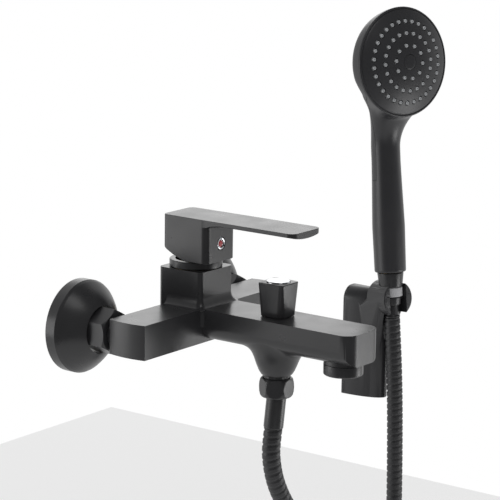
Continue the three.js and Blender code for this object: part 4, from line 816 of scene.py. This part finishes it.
def leverBlock(v):
    middle, half = (v.back + v.front) / 2, (v.back - v.front) / 2
    plan = roundedRect(v.half, half, v.blockCorner, 8) + (0, middle)
    short, far = v.past
    side = [(-v.back - short, v.top + far), (-v.back - short, v.slope[2][1] - short),
            *((-y, z) for y, z in v.slope[::-1]),
            (-v.front + far, v.low), (-v.front + far, v.top + far)]
    across = Matrix.Rotation(-math.pi / 2, 4, "Z") @ Matrix.Rotation(math.pi / 2, 4, "X")
    profile = moved(extruded(np.array(side), -v.cutHalf, v.cutHalf), across)
    return extruded(plan, v.low - v.sunk, v.top), profile


def leverBlade(v):
    # a flat top over an underside that bows across the blade and runs into the block
    share = np.linspace(-1, 1, 25)
    half, top = v.half - v.hair, v.top - v.hair
    rings = []
    for place, thick in zip([*v.rootY, v.tip], [*v.rootThick, v.midThick]):
        edge = v.edgeThick + max(0, thick - v.midThick)
        under = top - edge - (thick - edge) * (1 - share ** 2)
        low = np.column_stack([half * share, np.full(len(share), place), under])
        rings.append(np.vstack([low, [(half, place, top)], [(-half, place, top)]]))
    length = (v.back - v.tip) / 2
    plan = roundedRect(v.half, length, v.tipCorner, 10) + (0, v.back - length)
    return stacked(rings), extruded(plan, *v.cutZ)


def makeLever(v):
    block, profile = (cutter(s) for s in leverBlock(v))
    blade, plan = (cutter(s) for s in leverBlade(v))
    combine(block, [profile], "INTERSECT")
    combine(blade, [plan], "INTERSECT")
    soften(block, v.edge)
    soften(blade, v.edge)
    combine(block, [blade], "UNION")
    hole = cylinder(v.plugHole, -v.front - v.plugDepth, v.cutZ[1])
    combine(block, [cutter(moved(hole, Matrix.Translation((0, 0, v.plugZ)) @ outFromWall))], "DIFFERENCE")
    block.name = "leverHandle"
    shade(block.data)
    dress(evened(block), "lever", "paint", "lever_handle")


def makePlug(v):
    plug = makeMesh("indexPlug", placedAt(spun(rounded(v.plug), 64), 0, 0, v.plugZ, outFromWall))
    slot = extruded(roundedRect(*v.slotHalf, v.slotCorner, 3) + (0, v.slotAt), v.slotFrom, v.slotTo)
    for k in range(v.slots):
        way = outFromWall @ Matrix.Rotation(2 * math.pi * k / v.slots, 4, "Z")
        combine(plug, [makeMesh("cutter", placedAt(slot, 0, 0, v.plugZ, way))], "DIFFERENCE")
    shade(plug.data)
    dress(plug, "lever", "chrome", "index_plug")
    turnedPiece("indexDot", v.dot, 0, "lever", "red", "index_dot", v.plugZ, outFromWall, 40)


makeLever(lever)
makePlug(lever)
print("lever made")

# Diverter knob, cap and collar

knob = Values(
    y=-130, ringSteps=6, crease=35,
    rings=[      # half width, height, corner
        (10.0, 13.5, 4.8), (10.25, 13.9, 5), (11.25, 37.4, 3.2), (11.3, 38.1, 3.1), (11.15, 38.5, 3.0),
        (10.8, 38.7, 2.8),
    ],
    holes=[(9.15, 37.1, 45), (5.3, 10, 29.3)],
    cap=[(0, 37.4, 0), (8.8, 37.4, 0), (8.8, 39.1, 0.4), (8.2, 39.7, 0.5), (4, 39.9, 0), (0, 39.95, 0)],
    collar=[(3.8, 12.4, 0), (9.6, 12.4, 0), (9.6, 13.2, 0), (3.8, 13.2, 0)],
)


def makeKnob(k):
    rings = np.array(k.rings)
    steps = np.linspace(0, 1, k.ringSteps, endpoint=False)
    fine = [a + (b - a) * s for a, b in zip(rings, rings[1:]) for s in steps]
    solid = stacked([atHeight(roundedRect(h, h, c, 8), z, 0, k.y) for h, z, c in [*fine, rings[-1]]])
    body = makeMesh("diverterKnob", scaled(solid))
    combine(body, [cutter(cylinder(*hole, 0, k.y)) for hole in k.holes], "DIFFERENCE")
    shade(body.data, k.crease)
    dress(body, "diverter", "paint", "diverter_knob")
    turnedPiece("diverterCap", k.cap, k.y, "diverter", "chrome", "diverter_cap", sides=72)
    turnedPiece("diverterCollar", k.collar, k.y, "mixer", "rubber", "diverter_collar", sides=72)


makeKnob(knob)
print("diverter made")

aerator = [(8.2, -20.4, 0), (9.0, -21.0, 0.4), (13.8, -21.0, 0.5), (14.5, -20.3, 0.5), (14.5, -12.9, 0.3),
           (12.0, -12.9, 0), (12.0, -5.4, 0), (10.2, -5.4, 0), (10.2, -14.0, 0), (8.2, -14.0, 0)]
turnedPiece("aeratorHousing", aerator, casting.bossY, "mixer", "paint", "aerator_housing")
print("aerator made")

# Hand shower, in its own frame: X across, -Y the way it faces, Z up the handle

handset = Values(
    waist=132, neckTop=178, neckEnd=192, rows=(36, 32, 7), sides=72,
    profile=[(25.6, 13.0), (25.9, 13.35), (26.6, 13.6), (35, 13.7), (65, 14.1), (105, 12.85), (120, 12.5),
             (132, 12.5)],
    half=37, front=28, back=-9, frontShare=0.72, powers=(2.2, 2.0, 1.8),
    end=(18, 26, -15), gripFrom=28,
    headZ=206, radius=46.6, face=28.8, wall=10, dome=9, rim=1.3, rimWide=4,
    shell=2.4, headShell=2.2, headFloor=2.3, gap=0.3, past=3,
    seam=[(2, 105, 0), (2, 135, 6), (4, 150, 5), (9, 162, 5), (17, 172, 5), (27.4, 182, 6), (27.4, 262, 0)],
    slab=(60, 70), connectorFoot=20, connectorTop=39.6, connector=9.8,
    plateRadius=44.6, plateRise=8.9, plate=1.9, skirt=3,
    blend=11, blendRounds=60, blendFront=0.4,
)
faceTurn = Matrix.Translation((0, 0, handset.headZ)) @ outFromWall


def gripSections(h, inset):
    # rows of (height, half width, front, back): round up to the waist, then widening into the neck
    heights, radii = zip(*h.profile)
    gripRows, neckRows, endRows = h.rows
    low = np.concatenate([heights[:3], np.linspace(h.gripFrom, h.waist, gripRows)])
    radius = np.interp(low, heights, radii)
    share = np.linspace(0, 1, neckRows)[1:]
    reach = np.minimum(1, share / h.frontShare)
    ways = zip((h.half, h.front, h.back), (share, reach, share), h.powers)
    neck = [radii[-1] + (end - radii[-1]) * s ** power for end, s, power in ways]
    neck = np.column_stack([h.waist + (h.neckTop - h.waist) * share, *neck])
    last, end = neck[-1], np.array([h.neckEnd, *h.end])
    rows = np.vstack([np.column_stack([low, radius, radius, radius]), neck,
                      last + (end - last) * np.linspace(0, 1, endRows)[1:, None]])
    rows[:, 1:] -= inset
    return rows


def gripSolid(h, inset, low=0, high=math.inf):
    rows = gripSections(h, inset)
    rows = rows[(rows[:, 0] >= low) & (rows[:, 0] <= high)]
    angle = around(h.sides)
    z, half, front, back = (rows[:, k, None] for k in range(4))
    # y runs from -front to back as the sine goes from -1 to 1
    y = (back - front) / 2 + (front + back) / 2 * np.sin(angle)
    return stacked(np.stack([half * np.cos(angle), y, z + 0 * y], -1))


def headTurned(line, sides=128):
    # a line of (radius, distance forward of the handle's axis) turned about the axis of the face
    return moved(spun(line, sides), faceTurn)


def headLine(h):
    back = h.face - h.wall
    angle = np.linspace(0, math.pi / 2, 20)
    dome = np.column_stack([h.radius * np.sin(angle), back - h.dome * np.cos(angle)])
    corners = [(h.radius, back, 0), (h.radius, h.face, h.rim), (h.radius - h.rimWide, h.face, 0)]
    return np.vstack([dome, rounded(corners, 6), [(0, h.face)]])


def domeDistance(points, h):
    # how far points lie outside the dome and the wall of the head, in millimetres
    x, y, z = points[:, 0], points[:, 1], points[:, 2] - h.headZ
    reach = np.sqrt(x ** 2 + z ** 2)
    depth = (-y - (h.face - h.wall)) / h.dome
    behind = (np.sqrt((reach / h.radius) ** 2 + np.minimum(depth, 0) ** 2) - 1) * h.dome * 2
    return np.where(depth < 0, behind, reach - h.radius)


def neckDistance(points, h):
    rows = gripSections(h, 0)
    half, front, back = (np.interp(points[:, 2], rows[:, 0], rows[:, k]) for k in (1, 2, 3))
    middle, depth = (back - front) / 2, (front + back) / 2
    past = np.sqrt((points[:, 0] / half) ** 2 + ((points[:, 1] - middle) / depth) ** 2) - 1
    return past * np.minimum(half, depth)


def blendNeck(thing, h):
    # relaxes the skin near the line where neck and head meet, so that they flow into each other
    count = len(thing.data.vertices)
    points = np.empty(count * 3)
    thing.data.vertices.foreach_get("co", points)
    inverse = np.array(handFrame.inverted())
    local = (np.column_stack([points.reshape(-1, 3), np.ones(count)]) @ inverse.T)[:, :3] / mm
    near = np.maximum(np.abs(domeDistance(local, h)), np.abs(neckDistance(local, h)))
    weight = np.clip(1 - near / h.blend, 0, 1)
    weight[local[:, 1] < -h.face + h.rim + h.blendFront] = 0
    weight[local[:, 2] < h.waist] = 0
    group = thing.vertex_groups.new(name="blend")
    for k in np.flatnonzero(weight):
        group.add([int(k)], float(weight[k]), "REPLACE")
    step = thing.modifiers.new("flow", "SMOOTH")
    step.factor, step.iterations, step.vertex_group = 0.5, h.blendRounds, "blend"
    settle(thing)
    thing.vertex_groups.clear()


def behindSeam(h, shift):
    # everything behind the joint between the two shells, as a slab across the handset
    line = rounded([(front - shift, z + shift, c) for front, z, c in h.seam], 4)
    deep, wide = h.slab
    outline = np.vstack([[(-deep, line[0, 1])], line, [(-deep, line[-1, 1])]])
    across = Matrix(((0, 0, 1, 0), (-1, 0, 0, 0), (0, 1, 0, 0), (0, 0, 0, 1)))
    return moved(extruded(outline, -wide, wide), across)


def makeShells(h):
    # the whole hand shower, hollowed, then a copy of it on each side of the joint
    recess, seat, mouth = h.plateRadius + h.gap, h.face - h.skirt, h.face + h.past
    cavity, floor = h.radius - 2 * h.headShell, h.face - h.wall - h.headFloor
    grip = handPiece("handsetGrip", gripSolid(h, 0))
    combine(grip, [handCutter(headTurned(headLine(h)))], "UNION", "MANIFOLD")
    blendNeck(grip, h)
    hollow = [gripSolid(h, h.shell, h.connectorTop, h.neckTop - h.headShell),
              cylinder(h.connector, h.connectorFoot, h.connectorTop + 2),
              headTurned([(0, floor), (cavity, floor), (cavity, seat), (recess, seat), (recess, mouth),
                          (0, mouth)])]
    combine(grip, [handCutter(s) for s in hollow], "DIFFERENCE", "MANIFOLD")
    back = addObject("handsetBack", grip.data.copy())
    for shell, shift, kind, node in ((grip, 0, "DIFFERENCE", "handset_grip_shell"),
                                     (back, h.gap, "INTERSECT", "handset_back_shell")):
        combine(shell, [handCutter(behindSeam(h, shift))], kind, "MANIFOLD")
        shade(shell.data)
        dress(shell, "handset", "shell", node)


makeShells(handset)
print("hand shower shells made")

# Spray face with its nozzles

spray = Values(
    rings=[(30, 34.4, 1), (20, 24.3, -2), (10, 14.1, -11.1)],    # count, radius, phase in degrees
    hole=2.35, holeFrom=-2, holeTo=12, disc=6.3, discEdge=0.2, footWide=3.8, plateEdge=(0.25, 0.05),
    nozzle=1.45, proud=0.7, bore=0.75, boreDepth=0.9, lip=0.2, root=3.1, mat=1.2, matEdge=4.1,
    tipRound=(0.3, 0.2), discClear=1, underEdge=4,
)


def faceRise(radius, h):
    return h.face + h.plateRise * (1 - (np.asarray(radius) / h.plateRadius) ** 2)


def nozzlePlaces(s):
    # (across, up, radius) of each nozzle, counted clockwise from the top
    places = []
    for count, radius, phase in s.rings:
        angle = 2 * math.pi * np.arange(count) / count + math.radians(phase)
        places += [(radius * math.sin(a), radius * math.cos(a), radius) for a in angle]
    return places


def plateLine(h, s):
    # up at the centre disc's hole, out over the domed face, round the skirt and back underneath
    edge, hole = h.plateRadius, s.disc + h.gap
    r = np.linspace(0, edge, 40)[1:]
    outside = r > s.disc + s.discClear
    top = np.column_stack([r, faceRise(r, h)])
    under = (top - (0, h.plate))[outside & (r < edge - s.underEdge)][::-1]
    top[-1] = (edge - s.plateEdge[0], faceRise(edge, h) + s.plateEdge[1])
    foot = h.face - h.skirt + h.gap
    return np.vstack([[(hole, faceRise(s.disc, h) - h.plate)], [(hole, faceRise(hole, h))], top[outside],
                      [(edge, h.face - h.gap), (edge, foot), (edge - s.footWide, foot)], under])


def makeSpray(h, s):
    places = [(faceTurn @ Matrix.Translation((x, z, 0)), float(faceRise(radius, h)))
              for x, z, radius in nozzlePlaces(s)]
    plate = handPiece("sprayFace", headTurned(plateLine(h, s), 160))
    hole = cylinder(s.hole, h.face + s.holeFrom, h.face + s.holeTo, sides=20)
    combine(plate, [handCutter(together(*(moved(hole, place) for place, _ in places)))], "DIFFERENCE")
    shade(plate.data)
    dress(plate, "handset", "shell", "spray_face")
    tips, (rim, mouth) = [], s.tipRound
    for place, height in places:
        root, top = height - s.root, height + s.proud
        tip = [(0, root, 0), (s.nozzle, root, 0), (s.nozzle, top, rim), (s.bore + s.lip, top, mouth),
               (s.bore, top - s.boreDepth, 0), (0, top - s.boreDepth, 0)]
        tips.append(moved(spun(rounded(tip, 2), 16), place))
    r = np.linspace(0, h.plateRadius - s.matEdge, 24)
    upper = np.column_stack([r, faceRise(r, h) - h.plate - h.gap])
    mat = headTurned(np.vstack([upper - (0, s.mat), upper[::-1]]), 96)
    dress(handPiece("nozzleMat", together(mat, *tips)), "handset", "silicone", "nozzle_mat")
    r, rise = np.linspace(0, s.disc, 10), faceRise(s.disc, h)
    disc = np.vstack([[(0, rise - h.plate), (s.disc, rise - h.plate)], [(s.disc, rise - s.discEdge)],
                      np.column_stack([r, faceRise(r, h)])[:-1][::-1]])
    dress(handPiece("sprayCap", headTurned(disc, 72)), "handset", "shell", "spray_face_cap")


makeSpray(handset, spray)
print("spray face made")

# Wall bracket: half oval column, hull-shaped arm and a fork for the cone

bracket = Values(
    x=292.5, low=-130, top=-34, half=13, depth=38, round=11, foot=0.5, edge=0.5 * mm,
    fork=15.5, forkFront=9.5, forkBack=15, forkZ=2, forkEdges=(1.2, 0.5),
    arm=[(-50, 12.9, 14), (-92, 10, 12)], armY=-21.5,     # ovals at its root: height, half width, half depth
    hollow=(7.8, 5.8, 5), hollowLow=-121.3, hollowTop=-42.7,
    seat=[(8.2, -3.9), (9.2, 3.6), (10.1, 3.6), (10.1, 11.8), (10.3, 12.0), (11.9, 34)],
    slot=9, bore=8.6, reach=34, slotTop=40,
)


def ovals(x, y, halfX, halfY, z, angle):
    return np.column_stack([x + halfX * np.cos(angle), y + halfY * np.sin(angle), np.full(len(angle), z)])


def columnShape(b):
    # half ovals that shrink over a quarter circle at the top
    angle, over = np.linspace(math.pi, 0, 49), np.linspace(0, math.pi / 2, 12)
    shrink = np.concatenate([[b.foot, 0], b.round * (1 - np.cos(over))])
    height = np.concatenate([[b.low, b.low + b.foot], b.top - b.round * (1 - np.sin(over))])
    return stacked([ovals(b.x, 0, b.half - s, s - b.depth, z, angle) for s, z in zip(shrink, height)])


def armHull(b):
    # hull of the fork's circle and two ovals inside the column
    angle = around(64)
    circle = np.column_stack([b.fork * np.cos(angle), 0 * angle, b.forkZ + b.fork * np.sin(angle)])
    points = [np.array([(handFrame @ Vector(tuple(p * mm)))[:] for p in circle]) / mm]
    points += [ovals(b.x, b.armY, halfX, halfY, z, angle) for z, halfX, halfY in b.arm]

    def wrap(work):
        hull = bmesh.ops.convex_hull(work, input=work.verts)
        spare = hull["geom_interior"] + hull["geom_unused"]
        loose = list({v for v in spare if isinstance(v, bmesh.types.BMVert)})
        bmesh.ops.delete(work, geom=loose, context="VERTS")

    mesh = bpy.data.meshes.new("cutter")
    mesh.from_pydata((np.vstack(points) * mm).tolist(), [], [])
    return addObject("cutter", reworked(mesh, wrap))


def makeBracket(b):
    body = makeMesh("bracketBody", scaled(columnShape(b)))
    front, back = b.forkEdges
    line = [(0, -b.forkFront, 0), (b.fork, -b.forkFront, front), (b.fork, b.forkBack, back),
            (0, b.forkBack, 0)]
    way = Matrix.Translation((0, 0, b.forkZ)) @ Matrix.Rotation(-math.pi / 2, 4, "X")
    combine(body, [armHull(b), handCutter(moved(spun(rounded(line, 4)), way))], "UNION", "MANIFOLD")
    half, depth, past = b.hollow
    hollow = box(b.x - half, b.x + half, -depth, past, b.hollowLow, b.hollowTop)
    reach, slot = b.reach, b.slot
    cuts = [stacked(turn(b.seat, 64)), cylinder(b.bore, -reach, reach),
            box(-slot, slot, -reach, 0, -reach, b.slotTop)]
    combine(body, [cutter(hollow), *(handCutter(s) for s in cuts)], "DIFFERENCE", "MANIFOLD")
    soften(body, b.edge)
    shade(body.data)
    dress(body, "mixer", "plastic", "bracket_body")


makeBracket(bracket)
print("bracket made")

# Inner pieces keep their solids and get their finishes

inner = {
    "brass": "eccentric_union_left eccentric_union_right cartridge_nut lever_stem diverter_bush "
             "diverter_spindle handset_connector",
    "paint": "inlet_nipple_left inlet_nipple_right outlet_nipple",
    "rubber": "inlet_washer_left inlet_washer_right cartridge_seal hose_washer_lower aerator_washer "
              "cone_washer",
    "whitePlastic": "cartridge_housing cartridge_rotor aerator_insert water_tube spray_chamber bracket_plate",
    "ceramic": "fixed_ceramic_disc moving_ceramic_disc",
    "steel": "stem_pin lever_set_screw diverter_screw bracket_screw_lower bracket_screw_upper",
}
for finish, names in inner.items():
    for name in names.split():
        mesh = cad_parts[name].data
        mesh.materials.clear()
        mesh.materials.append(look[finish])
print("inner pieces finished")

# Light, floor and backdrop

light = Values(
    world=0.72,
    # a dark studio side, seen by gloss alone
    shade=(-0.5, -0.7, 0.5), shadeLevel=0.1, glossLevel=0.85, shadeFrom=-0.05, shadeTo=0.3,
    lamps=Values(      # power, size, place, target
        keyLamp=(4, 0.8, (-0.4, -1.2, 1.6), (0.1, -0.1, 0)),
        sideLamp=(3.5, 0.7, (-0.9, 0.95, 0.0), (0.25, -0.1, 0.1)),
        lowLamp=(2.4, 0.45, (0.6, -0.77, -0.38), (0.28, -0.1, 0.14)),
        backLamp=(6, 1.4, (1.9, 1.5, 0.75), (0.05, -0.1, 0.05)),
    ),
    floorHalf=800, floorX=120, floorGap=20, floorThick=5, floorColour=0.72, floorRough=0.8,
    floorGlow=0.2,
)


def areaLamp(name, power, size, place, target):
    data = bpy.data.lights.new(name, "AREA")
    data.energy, data.size, data.shape = power, size, "SQUARE"
    lamp = addObject(name, data)
    lamp.location = place
    lamp.rotation_mode = "QUATERNION"
    lamp.rotation_quaternion = (Vector(target) - Vector(place)).to_track_quat("-Z", "Y")
    lamp.visible_camera = False


def raySeen(tree, *kinds):
    # 1 for the named kinds of ray, 0 for the rest
    path = newNode(tree, "LightPath", {})
    total, *rest = (path.outputs[f"Is {kind} Ray"] for kind in kinds)
    for ray in rest:
        both = newNode(tree, "Math", {0: total, 1: ray})
        both.operation = "MAXIMUM"
        total = both.outputs[0]
    return total


def makeWorld(v):
    # camera and glass see white, gloss darker towards the studio's side; the rest is lit at a plain level
    world = bpy.data.worlds.new("studio")
    world.use_nodes = True
    tree = world.node_tree
    tree.nodes.clear()
    facing = newNode(tree, "VectorMath", {0: newNode(tree, "TexCoord", {}).outputs["Generated"], 1: v.shade})
    facing.operation = "DOT_PRODUCT"
    gloss = ranged(tree, facing.outputs["Value"], v.glossLevel, v.shadeLevel, v.shadeFrom, v.shadeTo)
    plain = ranged(tree, raySeen(tree, "Camera", "Transmission"), v.world, 1)
    strength = ranged(tree, raySeen(tree, "Glossy"), plain, gloss)
    background = newNode(tree, "Background", {"Color": (1, 1, 1, 1), "Strength": strength})
    newNode(tree, "OutputWorld", {"Surface": background.outputs[0]})
    bpy.context.scene.world = world


def makeFloor(v):
    # a pale square under the object that takes its shadow
    top, half = cadBox[0][2] / mm - v.floorGap, v.floorHalf
    slab = box(v.floorX - half, v.floorX + half, -half, half, top - v.floorThick, top)
    floor = makeMesh("studioFloor", scaled(slab))
    material, tree, shader = newMaterial("paleFloor", (v.floorColour,) * 3, v.floorRough)
    glow = ranged(tree, raySeen(tree, "Camera", "Glossy", "Transmission"), 0, v.floorGlow)
    fed(tree, shader, {"Specular IOR Level": 0, "Emission Color": (1, 1, 1, 1), "Emission Strength": glow})
    floor.data.materials.append(material)


makeWorld(light)
makeFloor(light)
for name, values in light.lamps.items():
    areaLamp(name, *values)
bpy.context.scene.view_settings.view_transform = "Standard"
print("light and floor set")
